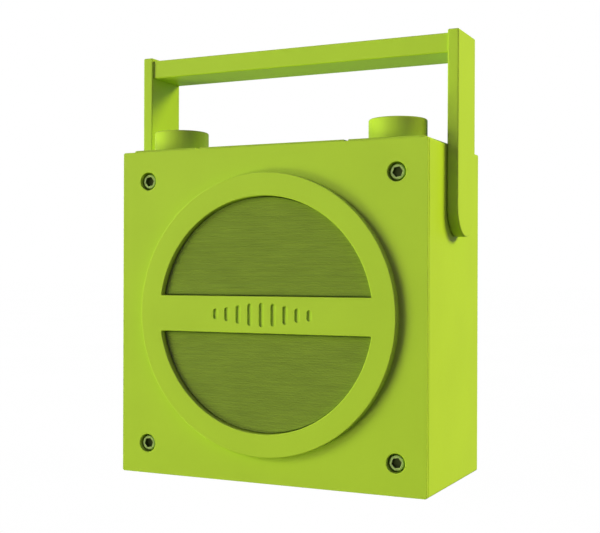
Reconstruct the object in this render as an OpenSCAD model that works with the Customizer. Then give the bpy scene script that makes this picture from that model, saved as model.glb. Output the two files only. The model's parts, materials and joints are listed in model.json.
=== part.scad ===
// Portable speaker: a square cabinet with a round ring and bar on the front,
// two knobs and five buttons on top, and a square carry handle that swings on
// the cabinet's sides. Millimetres, +Z up, front towards -Y. The origin is the
// middle of the base pad's underside.

/* [Cabinet] */
// Width of the cabinet
body_w = 156; // [156:1:164]
// Depth of the cabinet with its front panel and rear cover
body_d = 77; // [77:1:84]
// Height of the cabinet
body_h = 155; // [155:1:163]
// Thickness of the cabinet's walls
wall = 3; // [2.6:0.2:3.2]
// Radius of the cabinet's long edges
edge_r = 1; // [0.6:0.2:1.4]
// Thickness of the rubber pad under the cabinet
pad_h = 1.2; // [0.8:0.2:2]

/* [Front] */
// Thickness of the front panel's rim, seen from the side
rim_t = 1.6; // [1.2:0.2:2]
// Thickness of the whole front panel
panel_t = 6.5; // [6:0.5:7.5]
// Outer radius of the speaker ring
ring_r = 65; // [63:0.5:66]
// Radius of the opening in the speaker ring
opening_r = 54.3; // [54:0.1:55]
// Height that the ring stands above the front panel
ring_rise = 3.8; // [3.4:0.2:4.6]
// Height of the bar across the ring
bar_h = 16.9; // [14:0.1:20]
// Depth of the grille cloth behind the ring's face
grille_depth = 5.5; // [5:0.1:5.8]
// Distance of the corner screws from the cabinet's edges
screw_inset = 14.3; // [14:0.1:14.4]
// Radius of the round recess at each corner screw
recess_r = 4.3; // [4:0.1:4.8]

/* [Top] */
// Height of the raised deck above the cabinet
deck_rise = 1.3; // [1:0.1:2]
// Distance of the deck's ends from the cabinet's sides
deck_inset = 2.9; // [2:0.1:3]
// Radius of the two knobs
knob_r = 13.3; // [11:0.1:14]
// Height of the knobs' tops above the cabinet
knob_top = 11; // [11:0.1:14]
// Distance of the knobs' axes from the cabinet's sides
knob_inset = 21; // [20:0.5:22]
// Distance of the knobs' axes from the front face
knob_back = 19.8; // [19:0.1:24]
// Width of a push button
button_w = 10; // [8:0.5:11]
// Distance between neighbouring push buttons
button_pitch = 14; // [13.5:0.1:14]

/* [Handle] */
// Height of the handle's top above the cabinet's underside
handle_top = 206.3; // [204:0.1:220]
// Height of the handle's pivots above the cabinet's underside
pivot_h = 126.5; // [123:0.5:127]
// Width of a handle arm, front to back
arm_w = 26.2; // [22:0.2:28]
// Thickness of a handle arm
arm_t = 5.2; // [4.8:0.1:7]
// Gap between the cabinet and a handle arm
arm_gap = 0.3; // [0.3:0.1:1.2]
// Height of the crossbar between the arms
crossbar_h = 9; // [7:0.5:12]
// Height that the arms stand above the crossbar
crossbar_drop = 1.4; // [0.5:0.1:2]
// Distance that the crossbar is set back from the arms' front edges
crossbar_setback = 1.2; // [0:0.1:2]
// Distance that the crossbar is set in from the arms' rear edges
crossbar_rear_setback = 0.2; // [0:0.1:2]

/* [Hidden] */
$fn = 96;

// Colours
LIME = [0.64, 0.76, 0.22];
OLIVE = [0.40, 0.49, 0.16];
STEEL = [0.72, 0.73, 0.74];
RUBBER = [0.12, 0.12, 0.13];
BOARD = [0.05, 0.30, 0.16];

// Heights and planes
eps = 0.5;                                  // overlap that joins or cuts solids cleanly
base_z = pad_h;
pad_inset = 8;                              // from the pad to the cabinet's sides
pad_r = 6;
top_z = base_z + body_h;
mid_z = base_z + body_h / 2;
front_y = -body_d / 2;
rear_y = body_d / 2;
side_x = body_w / 2;
inner_x = side_x - wall;
floor_z = base_z + wall;
ceiling_z = top_z - wall;

// Front panel and grille
gasket_t = 0.4;
shell_y = front_y + rim_t + gasket_t;       // front edge of the cabinet
panel_y = front_y + panel_t;                // back of the front panel
fit_gap = 0.2;                              // gap round a panel that sits inside the cabinet
ring_y = front_y - ring_rise;               // face of the ring
seat_r = opening_r + 3.4;                   // recess that holds the ring's spigot and grille
seat_y = front_y + 3.5;                     // floor of that recess
cloth_y = ring_y + grille_depth;            // front of the grille cloth
cloth_t = 0.6;
field_rise = 3;                             // height of the cloth's two padded fields
field_gap = 0.9;                            // gap round each field, inside the ring
frame_y = cloth_y + cloth_t;
baffle_r = 46.2;                            // hole that the cone plays through
ring_screw_r = 61;                          // radius of the ring screws' circle
m2_r = 0.98;                                // the ring's M2 screws
m2_hole_r = 1;
m2_clear_r = 1.2;
m2_head_r = 2.3;
m2_recess_r = 2.6;
m2_recess_h = 2;
groove_count = 9;                           // level-bar motif in the bar's face
groove_pitch = 6;
groove_w = 2.4;
groove_depth = 0.8;

// M4 corner screws
m4_r = 1.98;
m4_hole_r = 2;
m4_clear_r = 2.15;
m4_head_r = 3.4;
m4_head_h = 3;
m4_sunk = 1.2;                              // depth of the head below the panel's face
m4_hex_r = 2.25;
boss_r = 5;
boss_len = 12;
screw_x = side_x - screw_inset;
screw_zs = [base_z + screw_inset, top_z - screw_inset];

// Rear cover
cover_t = 2.5;
cover_gasket_t = 0.8;
cover_y = rear_y - cover_t;
ledge_y = cover_y - cover_gasket_t;
ledge_w = 4;
ledge_t = 1.8;
rear_head_h = 1.5;
bass_x = -45;
bass_z = mid_z + 36.5;
bass_r = 13.4;                              // outside of the tube
bass_bore_r = 11.4;
bass_flange_r = 17;
bass_flange_t = 1;
bass_len = 30;

// Port door in the rear cover
door_x = 30;
door_w = 44;
door_h = 18.5;
door_z = base_z + 9.8;                      // lower edge of the opening
door_gap = 0.25;
door_t = 2;
knuckle_r = 1.5;
door_pin_r = 0.8;
door_pivot_y = rear_y - knuckle_r;
door_pivot_z = door_z + door_gap + knuckle_r;
pocket_depth = 8.5;
pocket_t = 1.5;

// Top deck, knobs and buttons
deck_z = top_z - 1.2;                       // floor of the deck's pocket
deck_top = top_z + deck_rise;
deck_setback = 3.5;                         // from the deck to the cabinet's front and back
deck_w = body_w - 2 * deck_inset;
deck_d = body_d - 2 * deck_setback;
deck_r = 3;
groove_x = 38.4;                            // grooves between the button and knob areas
deck_groove_w = 2.1;
knob_x = side_x - knob_inset;
knob_y = front_y + knob_back;
knob_z = deck_top + 0.3;
knob_top_z = top_z + knob_top;
knob_cavity_r = 8.5;
knob_cavity_h = 3.7;
shaft_r = 3;
bushing_r = 3.5;
bushing_bore_r = 3.05;
control_w = 12;
control_h = 6;
nut_z = deck_top + 0.5;
nut_h = 1.5;
shaft_top_z = knob_top_z - 1.9;
flat_x = 1.5;                               // distance of the shaft's flat from its axis
button_d = 8;
button_flange = 0.8;                        // flange under the deck, wider than the cap all round
button_rise = 1.2;
button_travel = 0.6;
button_count = 5;
cap_gap = 0.2;
window_w = 72;                              // opening in the cabinet under the buttons
window_d = 12;
board_t = 1.6;
button_board_z = ceiling_z - 7.2;
button_board_w = 92;
button_board_y = [-15, 9];                  // front and rear edges
switch_h = 3.5;
stem_z = button_board_z + board_t + switch_h + button_travel + 0.05;
light_y = -12;
light_r = 1.5;
board_screw_r = 0.95;
board_screw_hole_r = 1;
button_board_xs = [-43, 43];
button_board_ys = [-11, 6];
button_board_post_r = 2.6;

// Handle and pivots
pivot_z = base_z + pivot_h;
handle_top_z = base_z + handle_top;
arm_x = side_x + arm_gap;                   // inner face of an arm
arm_end_r = arm_w / 2;
crossbar_top_z = handle_top_z - crossbar_drop;
crossbar_mid_z = crossbar_top_z - crossbar_h / 2;
crossbar_gap = 0.05;
tenon_w = 14;
tenon_h = 4;
tenon_len = 3.4;
pin_r = 3;
pin_bore_r = 3.05;
pin_arm_depth = 3.6;
bush_r = 4.5;
bush_flange_r = 6.5;
bush_flange_t = 1;
clip_x = inner_x - 2.5;                     // inner side of the groove for the clip
clip_t = 0.8;
clip_groove_r = 2.3;

// Driver: radii from the axis, and distances behind the panel
flange_r = 52.5;
flange_in_r = 45.3;
flange_y = panel_y + 0.8;
flange_t = 1.8;
driver_screw_r = 49.5;
roll_r = 41.3;                              // middle of the surround's half roll
cone_r = 37.9;
cone_y = flange_y - 0.3;                    // front edge of the cone
neck_r = 10.3;
neck_y = cone_y + 12.6;
cone_t = 0.8;
former_r = 10.25;
basket_back_y = panel_y + 25.5;
gap_r = 10.75;                              // bore of the top plate
pole_r = 9.7;
plate_t = 4;
magnet_t = 9;
spider_y = basket_back_y - 8.6;
spider_t = 0.5;
spider_r = 29.5;

// Boards and battery
main_board_z = floor_z + 10.8;
main_board_lo = [2, -19];
main_board_hi = [57, 29];
main_board_posts_x = [main_board_lo[0] + 3.5, main_board_hi[0] - 3.5];
main_board_posts_y = [main_board_lo[1] + 3.5, main_board_hi[1] - 3.5];
main_board_post_r = 3;
jack_x = 20;
jack_z = main_board_z + board_t + 3.6;
jack_bore_r = 1.8;
jack_bore_len = 14;
jack_nose_r = 3.6;
usb_x = 40;
usb_w = 9;
usb_h = 3.2;
cell_r = 9.1;
cell_len = 65;
cell_x = -71;
cell_ys = [-9.5, 9.5];
tray_t = 1.5;
cell_z = floor_z + tray_t + cell_r + 0.05;

// ---- Helpers ----

// A block between two corners
module block(lo, hi) {
    translate(lo) cube(hi - lo);
}

// Cylinders along each axis
module rod_x(y, z, r, x0, x1) {
    translate([x0, y, z]) rotate([0, 90, 0]) cylinder(h = x1 - x0, r = r);
}

module rod_y(x, z, r, y0, y1) {
    translate([x, y1, z]) rotate([90, 0, 0]) cylinder(h = y1 - y0, r = r);
}

module rod_z(x, y, r, z0, z1) {
    translate([x, y, z0]) cylinder(h = z1 - z0, r = r);
}

// A 2-D shape in X and Z, drawn out from y0 to y1
module slab_y(y0, y1) {
    translate([0, y1, 0]) rotate([90, 0, 0]) linear_extrude(y1 - y0) children();
}

// A rectangle with round corners, centred on the origin
module rounded_rect(w, h, r) {
    square([w - 2 * r, h], center = true);
    square([w, h - 2 * r], center = true);
    for (x = [-1, 1], y = [-1, 1])
        translate([x * (w / 2 - r), y * (h / 2 - r)]) circle(r);
}

// The same, centred on the cabinet's front
module face_rect(w, h, r) {
    translate([0, mid_z]) rounded_rect(w, h, r);
}

// A profile of radius and Y, turned about the speaker's axis
module turned() {
    translate([0, 0, mid_z]) rotate([-90, 0, 0]) rotate_extrude() children();
}

// A flat ring on the speaker's axis
module ring(r_in, r_out, y0, y1) {
    turned() translate([r_in, y0]) square([r_out - r_in, y1 - y0]);
}

// A washer along X or Z
module washer_x(z, r_in, r_out, x0, x1) {
    difference() {
        rod_x(0, z, r_out, x0, x1);
        rod_x(0, z, r_in, x0 - eps, x1 + eps);
    }
}

module washer_z(x, y, r_in, r_out, z0, z1) {
    difference() {
        rod_z(x, y, r_out, z0, z1);
        rod_z(x, y, r_in, z0 - eps, z1 + eps);
    }
}

// The four corners of the cabinet's front or back
module at_corners() {
    for (x = [-screw_x, screw_x], z = screw_zs)
        translate([x, 0, z]) children();
}

// Four places on a circle round the speaker's axis
module on_circle(r) {
    for (a = [45:90:315])
        translate([r * cos(a), 0, mid_z + r * sin(a)]) children();
}

// The two sides of the cabinet; the shape is drawn for the right side
module both_sides() {
    children();
    mirror([1, 0, 0]) children();
}

// The places of the five buttons
module at_button(i) {
    translate([(i - (button_count - 1) / 2) * button_pitch, 0, 0]) children();
}

// A socket-head screw along Y: head from y0, pointing to dir
module socket_screw(y0, head_h, shank_len, dir) {
    y1 = y0 + dir * head_h;
    y2 = y1 + dir * shank_len;
    difference() {
        union() {
            rod_y(0, 0, m4_head_r, min(y0, y1), max(y0, y1));
            rod_y(0, 0, m4_r, min(y1 - dir * eps, y2), max(y1 - dir * eps, y2));
        }
        translate([0, y0 + dir * (head_h * 0.7) / 2 - dir * eps, 0]) rotate([90, 0, 0])
            cylinder(h = head_h * 0.7 + eps, r = m4_hex_r, $fn = 6, center = true);
    }
}

// A round wire along a row of points, each length run on to close the bends
module wire(points, r) {
    last = len(points) - 2;
    for (i = [0:last]) {
        d = points[i + 1] - points[i];
        run = norm(d);
        before = i > 0 ? r : 0;
        after = i < last ? r : 0;
        translate(points[i]) rotate([0, acos(d[2] / run), atan2(d[1], d[0])])
            translate([0, 0, -before]) cylinder(h = run + before + after, r = r);
    }
}

// ---- Cabinet and covers ----

module cabinet_body() {
    difference() {
        slab_y(shell_y, rear_y) face_rect(body_w, body_h, edge_r);
        slab_y(shell_y - eps, rear_y + eps) face_rect(body_w - 2 * wall, body_h - 2 * wall, edge_r);
    }
    // Ledge behind the rear cover's gasket
    slab_y(ledge_y - ledge_t, ledge_y) difference() {
        face_rect(body_w - wall, body_h - wall, edge_r);
        face_rect(body_w - 2 * wall - 2 * ledge_w, body_h - 2 * wall - 2 * ledge_w, edge_r);
    }
    // Bosses for the corner screws, each on a web from the side wall
    at_corners() {
        rod_y(0, 0, boss_r, panel_y, panel_y + boss_len);
        rod_y(0, 0, boss_r, ledge_y - boss_len, ledge_y);
    }
    both_sides() for (z = screw_zs) {
        block([screw_x, panel_y, z - 1], [inner_x + eps, panel_y + boss_len, z + 1]);
        block([screw_x, ledge_y - boss_len, z - 1], [inner_x + eps, ledge_y, z + 1]);
    }
    // Posts for the button board and the main board
    for (x = button_board_xs, y = button_board_ys)
        rod_z(x, y, button_board_post_r, button_board_z + board_t, ceiling_z + eps);
    for (x = main_board_posts_x, y = main_board_posts_y)
        rod_z(x, y, main_board_post_r, floor_z - eps, main_board_z);
}

module cabinet() {
    color(LIME) difference() {
        cabinet_body();
        at_corners() {
            rod_y(0, 0, m4_hole_r, panel_y - eps, panel_y + boss_len - 1);
            rod_y(0, 0, m4_hole_r, ledge_y - boss_len + 1, ledge_y + eps);
        }
        both_sides() rod_x(0, pivot_z, bush_r, inner_x - eps, side_x + eps);
        translate([0, 0, deck_z]) linear_extrude(3)
            rounded_rect(deck_w + fit_gap, deck_d + fit_gap, deck_r);
        both_sides() rod_z(knob_x, knob_y, bushing_r + 0.1, ceiling_z - eps, top_z + eps);
        block([-window_w / 2, -window_d / 2, ceiling_z - eps], [window_w / 2, window_d / 2, top_z]);
        rod_z(0, light_y, light_r + 0.05, ceiling_z - eps, top_z);
        for (x = button_board_xs, y = button_board_ys)
            rod_z(x, y, board_screw_hole_r, button_board_z, ceiling_z - 1);
        for (x = main_board_posts_x, y = main_board_posts_y)
            rod_z(x, y, board_screw_hole_r, floor_z + 2, main_board_z + eps);
    }
}

module front_panel() {
    color(LIME) difference() {
        union() {
            slab_y(front_y, front_y + rim_t) face_rect(body_w, body_h, edge_r);
            slab_y(front_y + eps, panel_y)
                face_rect(body_w - 2 * wall - 2 * fit_gap, body_h - 2 * wall - 2 * fit_gap, edge_r);
        }
        rod_y(0, mid_z, seat_r + 0.05, front_y - eps, seat_y);
        rod_y(0, mid_z, baffle_r, front_y, panel_y + eps);
        at_corners() {
            rod_y(0, 0, recess_r, front_y - eps, front_y + m4_sunk + m4_head_h);
            rod_y(0, 0, m4_clear_r, front_y, panel_y + eps);
        }
        on_circle(ring_screw_r) {
            rod_y(0, 0, m2_clear_r, front_y - eps, panel_y + eps);
            rod_y(0, 0, m2_recess_r, panel_y - m2_recess_h, panel_y + eps);
        }
        on_circle(driver_screw_r) rod_y(0, 0, 1.5, seat_y + 0.5, panel_y + eps);
    }
}

module front_gasket() {
    color(RUBBER) slab_y(front_y + rim_t, shell_y) difference() {
        face_rect(body_w - 1, body_h - 1, edge_r);
        face_rect(body_w - 2 * wall, body_h - 2 * wall, edge_r);
    }
}

module front_screws() {
    color(STEEL) at_corners() socket_screw(front_y + m4_sunk, m4_head_h, 10, 1);
}

module rear_screws() {
    color(STEEL) at_corners() socket_screw(rear_y - 0.1, rear_head_h, 10, -1);
}

module base_pad() {
    color(RUBBER) linear_extrude(pad_h)
        rounded_rect(body_w - 2 * pad_inset, body_d - 2 * pad_inset, pad_r);
}

module rear_cover() {
    color(LIME) difference() {
        union() {
            slab_y(cover_y, rear_y)
                face_rect(body_w - 2 * wall - 2 * fit_gap, body_h - 2 * wall - 2 * fit_gap, edge_r);
            block([door_x - door_w / 2 - pocket_t, rear_y - pocket_depth, door_z - pocket_t],
                  [door_x + door_w / 2 + pocket_t, cover_y + eps, door_z + door_h + pocket_t]);
        }
        // Pocket for the ports, with a hole for each
        block([door_x - door_w / 2, rear_y - pocket_depth + pocket_t, door_z],
              [door_x + door_w / 2, rear_y + eps, door_z + door_h]);
        rod_y(jack_x, jack_z, jack_nose_r + 0.1, rear_y - 10, rear_y);
        block([usb_x - usb_w / 2 - 0.1, rear_y - 10, main_board_z + board_t - 0.1],
              [usb_x + usb_w / 2 + 0.1, rear_y, main_board_z + board_t + usb_h + 0.1]);
        rod_x(door_pivot_y, door_pivot_z, door_pin_r,
              door_x - door_w / 2 - 3, door_x + door_w / 2 + 3);
        rod_y(bass_x, bass_z, bass_r + 0.1, cover_y - eps, rear_y + eps);
        rod_y(bass_x, bass_z, bass_flange_r + 0.05, rear_y - bass_flange_t, rear_y + eps);
        at_corners() {
            rod_y(0, 0, m4_clear_r, cover_y - eps, rear_y + eps);
            rod_y(0, 0, recess_r, rear_y - 0.1 - rear_head_h, rear_y + eps);
        }
    }
}

module rear_gasket() {
    color(RUBBER) difference() {
        slab_y(ledge_y, cover_y) difference() {
            face_rect(body_w - 2 * wall - 2, body_h - 2 * wall - 2, edge_r);
            face_rect(body_w - 2 * wall - 2 * ledge_w, body_h - 2 * wall - 2 * ledge_w, edge_r);
        }
    }
}

module bass_port() {
    color(LIME) difference() {
        union() {
            rod_y(bass_x, bass_z, bass_r, rear_y - bass_len, rear_y - eps);
            rod_y(bass_x, bass_z, bass_flange_r, rear_y - bass_flange_t, rear_y);
        }
        rod_y(bass_x, bass_z, bass_bore_r, rear_y - bass_len - eps, rear_y + eps);
    }
}

// ---- Ring and grille ----

// The two D-shaped areas above and below the bar, drawn in by a gap all round
module both_fields(gap, y0, y1) {
    difference() {
        rod_y(0, mid_z, opening_r - gap, y0, y1);
        block([-ring_r, y0 - 1, mid_z - bar_h / 2 - gap], [ring_r, y1 + 1, mid_z + bar_h / 2 + gap]);
    }
}

module speaker_ring() {
    color(LIME) difference() {
        turned() polygon([[0, ring_y], [ring_r, ring_y], [ring_r, front_y], [seat_r, front_y],
                          [seat_r, cloth_y], [0, cloth_y]]);
        both_fields(0, ring_y - eps, cloth_y + eps);
        // Row of level bars, tallest in the middle
        for (i = [0:groove_count - 1]) {
            step = i - (groove_count - 1) / 2;
            groove_h = bar_h * (0.28 + 0.36 * pow(cos(step * 20), 2)) - groove_w;
            translate([step * groove_pitch, 0, mid_z]) slab_y(ring_y - eps, ring_y + groove_depth) {
                square([groove_w, groove_h], center = true);
                for (end = [-1, 1])
                    translate([0, end * groove_h / 2]) circle(groove_w / 2);
            }
        }
        on_circle(ring_screw_r) rod_y(0, 0, m2_hole_r, ring_y + 1, front_y + eps);
    }
}

module ring_screws() {
    color(STEEL) on_circle(ring_screw_r) {
        rod_y(0, 0, m2_head_r, panel_y - m2_recess_h, panel_y - 0.4);
        rod_y(0, 0, m2_r, ring_y + 1.2, panel_y - m2_recess_h + 0.2);
    }
}

module grille_cloth() {
    color(OLIVE) {
        ring(0, seat_r - 0.1, cloth_y, frame_y);
        both_fields(field_gap, cloth_y - field_rise, cloth_y + cloth_t / 2);
    }
}

module grille_frame() {
    bar_pitch = 11.6;
    color(RUBBER) difference() {
        ring(0, seat_r - 0.1, frame_y, seat_y);
        for (row = [-4:4], side = [-1, 1]) {
            z = row * bar_pitch;
            reach = sqrt(pow(opening_r - 2, 2) - pow(abs(z) + 4.5, 2));
            block([side > 0 ? 1.5 : -reach, frame_y - eps, mid_z + z - 4.5],
                  [side > 0 ? reach : -1.5, seat_y + eps, mid_z + z + 4.5]);
        }
    }
}

// ---- Top deck, knobs and buttons ----

module top_deck() {
    color(LIME) difference() {
        translate([0, 0, deck_z]) linear_extrude(deck_top - deck_z)
            rounded_rect(deck_w, deck_d, deck_r);
        for (x = [-groove_x, groove_x])
            block([x - deck_groove_w / 2, -deck_d, top_z],
                  [x + deck_groove_w / 2, deck_d, deck_top + eps]);
        both_sides() rod_z(knob_x, knob_y, bushing_r + 0.1, deck_z - eps, deck_top + eps);
        for (i = [0:button_count - 1])
            at_button(i) translate([0, 0, deck_z - eps]) linear_extrude(5)
                rounded_rect(button_w + 2 * cap_gap, button_d + 2 * cap_gap, 1.2);
        rod_z(0, light_y, light_r + 0.05, deck_z - eps, deck_top + eps);
    }
}

// A knob with a hollow for the nut, a D-shaped hole and a pointer line
module knob(x) {
    translate([x, knob_y, 0]) difference() {
        rod_z(0, 0, knob_r, knob_z, knob_top_z);
        rod_z(0, 0, knob_cavity_r, knob_z - eps, knob_z + knob_cavity_h);
        intersection() {
            rod_z(0, 0, shaft_r + 0.02, knob_z, shaft_top_z + 0.1);
            block([-shaft_r - 1, -shaft_r - 1, knob_z], [flat_x + 0.02, shaft_r + 1, knob_top_z]);
        }
        block([-0.6, knob_r * 0.35, knob_top_z - 0.5], [0.6, knob_r * 0.82, knob_top_z + eps]);
    }
}

// A control's shaft, with a flat where the knob grips it
module shaft(x) {
    translate([x, knob_y, 0]) difference() {
        rod_z(0, 0, shaft_r, ceiling_z - control_h + 1.2, shaft_top_z);
        block([flat_x, -shaft_r - 1, knob_z + knob_cavity_h - 0.5],
              [shaft_r + 1, shaft_r + 1, shaft_top_z + eps]);
    }
}

// A rotary control under the cabinet's top, with its threaded neck and three pins
module rotary_control(x) {
    translate([x, knob_y, 0]) difference() {
        union() {
            block([-control_w / 2, -control_w / 2, ceiling_z - control_h],
                  [control_w / 2, control_w / 2, ceiling_z]);
            rod_z(0, 0, bushing_r, ceiling_z - eps, nut_z + nut_h);
            for (pin = [-3, 0, 3])
                block([pin - 0.5, control_w / 2 - eps, ceiling_z - control_h],
                      [pin + 0.5, control_w / 2 + 3, ceiling_z - control_h + 0.6]);
        }
        rod_z(0, 0, bushing_bore_r, ceiling_z - control_h + 1, deck_top + 5);
    }
}

module volume_knob() { color(LIME) knob(-knob_x); }
module tuning_knob() { color(LIME) knob(knob_x); }
module volume_shaft() { color(STEEL) shaft(-knob_x); }
module tuning_shaft() { color(STEEL) shaft(knob_x); }
module volume_control() { color(STEEL) rotary_control(-knob_x); }
module tuning_encoder() { color(STEEL) rotary_control(knob_x); }

module control_nuts() {
    color(STEEL) both_sides() difference() {
        translate([knob_x, knob_y, nut_z]) cylinder(h = nut_h, r = 5.2, $fn = 6);
        rod_z(knob_x, knob_y, bushing_r + 0.02, nut_z - eps, nut_z + nut_h + eps);
    }
}

module control_washers() {
    color(STEEL) both_sides()
        washer_z(knob_x, knob_y, bushing_r + 0.05, 5.8, deck_top, nut_z);
}

// A push button: cap, flange under the deck, and stem down to its switch
module push_button(i) {
    color(LIME) at_button(i) {
        translate([0, 0, deck_z - 1]) linear_extrude(deck_top + button_rise - deck_z + 1)
            rounded_rect(button_w, button_d, 1);
        translate([0, 0, deck_z - 1.02]) linear_extrude(1)
            rounded_rect(button_w + 2 * button_flange, button_d + 2 * button_flange, 1);
        rod_z(0, 0, 1.5, stem_z, deck_z - eps);
    }
}

module button_power() { push_button(0); }
module button_source() { push_button(1); }
module button_previous() { push_button(2); }
module button_play() { push_button(3); }
module button_next() { push_button(4); }

module button_board() {
    color(BOARD) difference() {
        block([-button_board_w / 2, button_board_y[0], button_board_z],
              [button_board_w / 2, button_board_y[1], button_board_z + board_t]);
        for (x = button_board_xs, y = button_board_ys)
            rod_z(x, y, 1.1, button_board_z - eps, button_board_z + board_t + eps);
    }
}

module tact_switches() {
    color(STEEL) for (i = [0:button_count - 1])
        at_button(i) block([-3, -3, button_board_z + board_t],
                           [3, 3, button_board_z + board_t + switch_h]);
}

module button_board_screws() {
    color(STEEL) for (x = button_board_xs, y = button_board_ys) {
        rod_z(x, y, 2, button_board_z - 1.4, button_board_z);
        rod_z(x, y, board_screw_r, button_board_z - 0.2, button_board_z + 6);
    }
}

module status_light() {
    color([0.9, 0.95, 0.85]) {
        rod_z(0, light_y, light_r, button_board_z + board_t + 1.2, deck_top);
        rod_z(0, light_y, light_r + 0.8, button_board_z + board_t + 1.2, ceiling_z);
    }
}

// ---- Handle and its pivots ----

// The right arm: square at the top, round at the pivot, with a socket for the crossbar
module arm() {
    difference() {
        union() {
            block([arm_x, -arm_w / 2, pivot_z], [arm_x + arm_t, arm_w / 2, handle_top_z]);
            rod_x(0, pivot_z, arm_end_r, arm_x, arm_x + arm_t);
        }
        rod_x(0, pivot_z, pin_r + 0.02, arm_x - eps, arm_x + pin_arm_depth);
        block([arm_x - eps, -tenon_w / 2 - 0.05, crossbar_mid_z - tenon_h / 2 - 0.05],
              [arm_x + tenon_len + 0.1, tenon_w / 2 + 0.05, crossbar_mid_z + tenon_h / 2 + 0.05]);
    }
}

module handle_arm_right() { color(LIME) arm(); }
module handle_arm_left() { color(LIME) mirror([1, 0, 0]) arm(); }

module handle_crossbar() {
    half = arm_x - crossbar_gap;
    color(LIME) {
        block([-half, crossbar_setback - arm_w / 2, crossbar_top_z - crossbar_h],
              [half, arm_w / 2 - crossbar_rear_setback, crossbar_top_z]);
        block([-arm_x - tenon_len, -tenon_w / 2, crossbar_mid_z - tenon_h / 2],
              [arm_x + tenon_len, tenon_w / 2, crossbar_mid_z + tenon_h / 2]);
    }
}

module pivot_pins() {
    color(STEEL) both_sides() difference() {
        rod_x(0, pivot_z, pin_r, clip_x - 2, arm_x + pin_arm_depth - 0.1);
        washer_x(pivot_z, clip_groove_r, pin_r + 1, clip_x, clip_x + clip_t + 0.1);
    }
}

module pivot_bushes() {
    color("goldenrod") both_sides() difference() {
        union() {
            rod_x(0, pivot_z, bush_r, inner_x - eps, side_x);
            rod_x(0, pivot_z, bush_flange_r, inner_x - bush_flange_t, inner_x);
        }
        rod_x(0, pivot_z, pin_bore_r, inner_x - 5, side_x + eps);
    }
}

module pivot_washers() {
    color(RUBBER) both_sides() washer_x(pivot_z, pin_r + 0.1, 7, side_x, arm_x - 0.05);
}

module friction_washers() {
    color(STEEL) both_sides()
        washer_x(pivot_z, pin_r + 0.05, 6, clip_x + clip_t + 0.1, inner_x - bush_flange_t - 0.05);
}

module pivot_clips() {
    color(STEEL) both_sides() difference() {
        washer_x(pivot_z, clip_groove_r + 0.05, 5, clip_x + 0.05, clip_x + 0.05 + clip_t);
        block([clip_x - 1, -1.6, pivot_z - 8], [clip_x + 2, 1.6, pivot_z]);
    }
}

// ---- Driver ----

module driver_basket() {
    wall_t = 1.6;
    neck = 24.5;
    ledge_out_r = neck + (flange_in_r - neck) * (basket_back_y - spider_y)
        / (basket_back_y - flange_y - flange_t) + 1;
    color([0.2, 0.2, 0.21]) difference() {
        union() {
            turned() polygon([[flange_in_r, flange_y], [flange_r, flange_y],
                [flange_r, flange_y + flange_t], [flange_in_r + wall_t, flange_y + flange_t],
                [neck + wall_t, basket_back_y + 1.5], [gap_r + 0.8, basket_back_y + 1.5],
                [gap_r + 0.8, basket_back_y], [neck, basket_back_y],
                [flange_in_r, flange_y + flange_t]]);
            ring(spider_r - 2.5, ledge_out_r, spider_y, spider_y + 1);
        }
        // Windows between four legs
        for (a = [0:90:270])
            translate([0, 0, mid_z]) rotate([0, a, 0])
                block([neck + 4, flange_y + 5, -16], [flange_r, spider_y - 1.5, 16]);
        on_circle(driver_screw_r) rod_y(0, 0, 1.6, flange_y - eps, flange_y + flange_t + eps);
    }
}

module driver_gasket() {
    color(RUBBER) difference() {
        ring(baffle_r + 0.1, flange_r, panel_y, flange_y);
        on_circle(driver_screw_r) rod_y(0, 0, 1.6, panel_y - eps, flange_y + eps);
    }
}

module driver_screws() {
    color(STEEL) on_circle(driver_screw_r) {
        rod_y(0, 0, 2.6, flange_y + flange_t, flange_y + flange_t + 1.8);
        rod_y(0, 0, 1.45, panel_y - 2.3, flange_y + flange_t + eps);
    }
}

module driver_terminals() {
    color(STEEL) for (z = [-6, 6])
        block([-flange_r + 1, flange_y + flange_t, mid_z + z - 2],
              [-flange_r + 1.8, flange_y + flange_t + 8, mid_z + z + 2]);
}

// Half roll of rubber between the cone and the basket
module surround() {
    roll = 3.1;
    roll_t = 0.6;
    color(RUBBER) turned() {
        translate([cone_r + 0.1, flange_y - roll_t])
            square([roll_r - roll - cone_r + roll_t / 2, roll_t]);
        translate([roll_r + roll - roll_t / 2, flange_y - roll_t])
            square([baffle_r - roll_r - roll + roll_t / 2, roll_t]);
        intersection() {
            translate([roll_r, flange_y - roll_t / 2]) difference() {
                circle(roll + roll_t / 2);
                circle(roll - roll_t / 2);
            }
            translate([roll_r - 5, flange_y - roll_t / 2]) square([10, 5]);
        }
    }
}

module speaker_cone() {
    color([0.15, 0.15, 0.15]) turned()
        polygon([[cone_r, cone_y], [cone_r, cone_y + cone_t], [neck_r, neck_y + cone_t],
                 [neck_r, neck_y]]);
}

module dust_cap() {
    cap_r = 12.9;
    rim_y = neck_y - 0.85;
    centre_y = rim_y + 4.9;
    color([0.1, 0.1, 0.1]) translate([0, centre_y, mid_z]) difference() {
        sphere(cap_r);
        sphere(cap_r - 0.6);
        block([-cap_r - 1, rim_y - centre_y, -cap_r - 1], [cap_r + 1, cap_r + 1, cap_r + 1]);
    }
}

module voice_coil() {
    color("goldenrod") {
        ring(former_r - 0.3, former_r, neck_y, basket_back_y + 7);
        ring(former_r - 0.1, former_r + 0.2, basket_back_y + 1, basket_back_y + 6);
    }
}

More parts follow.
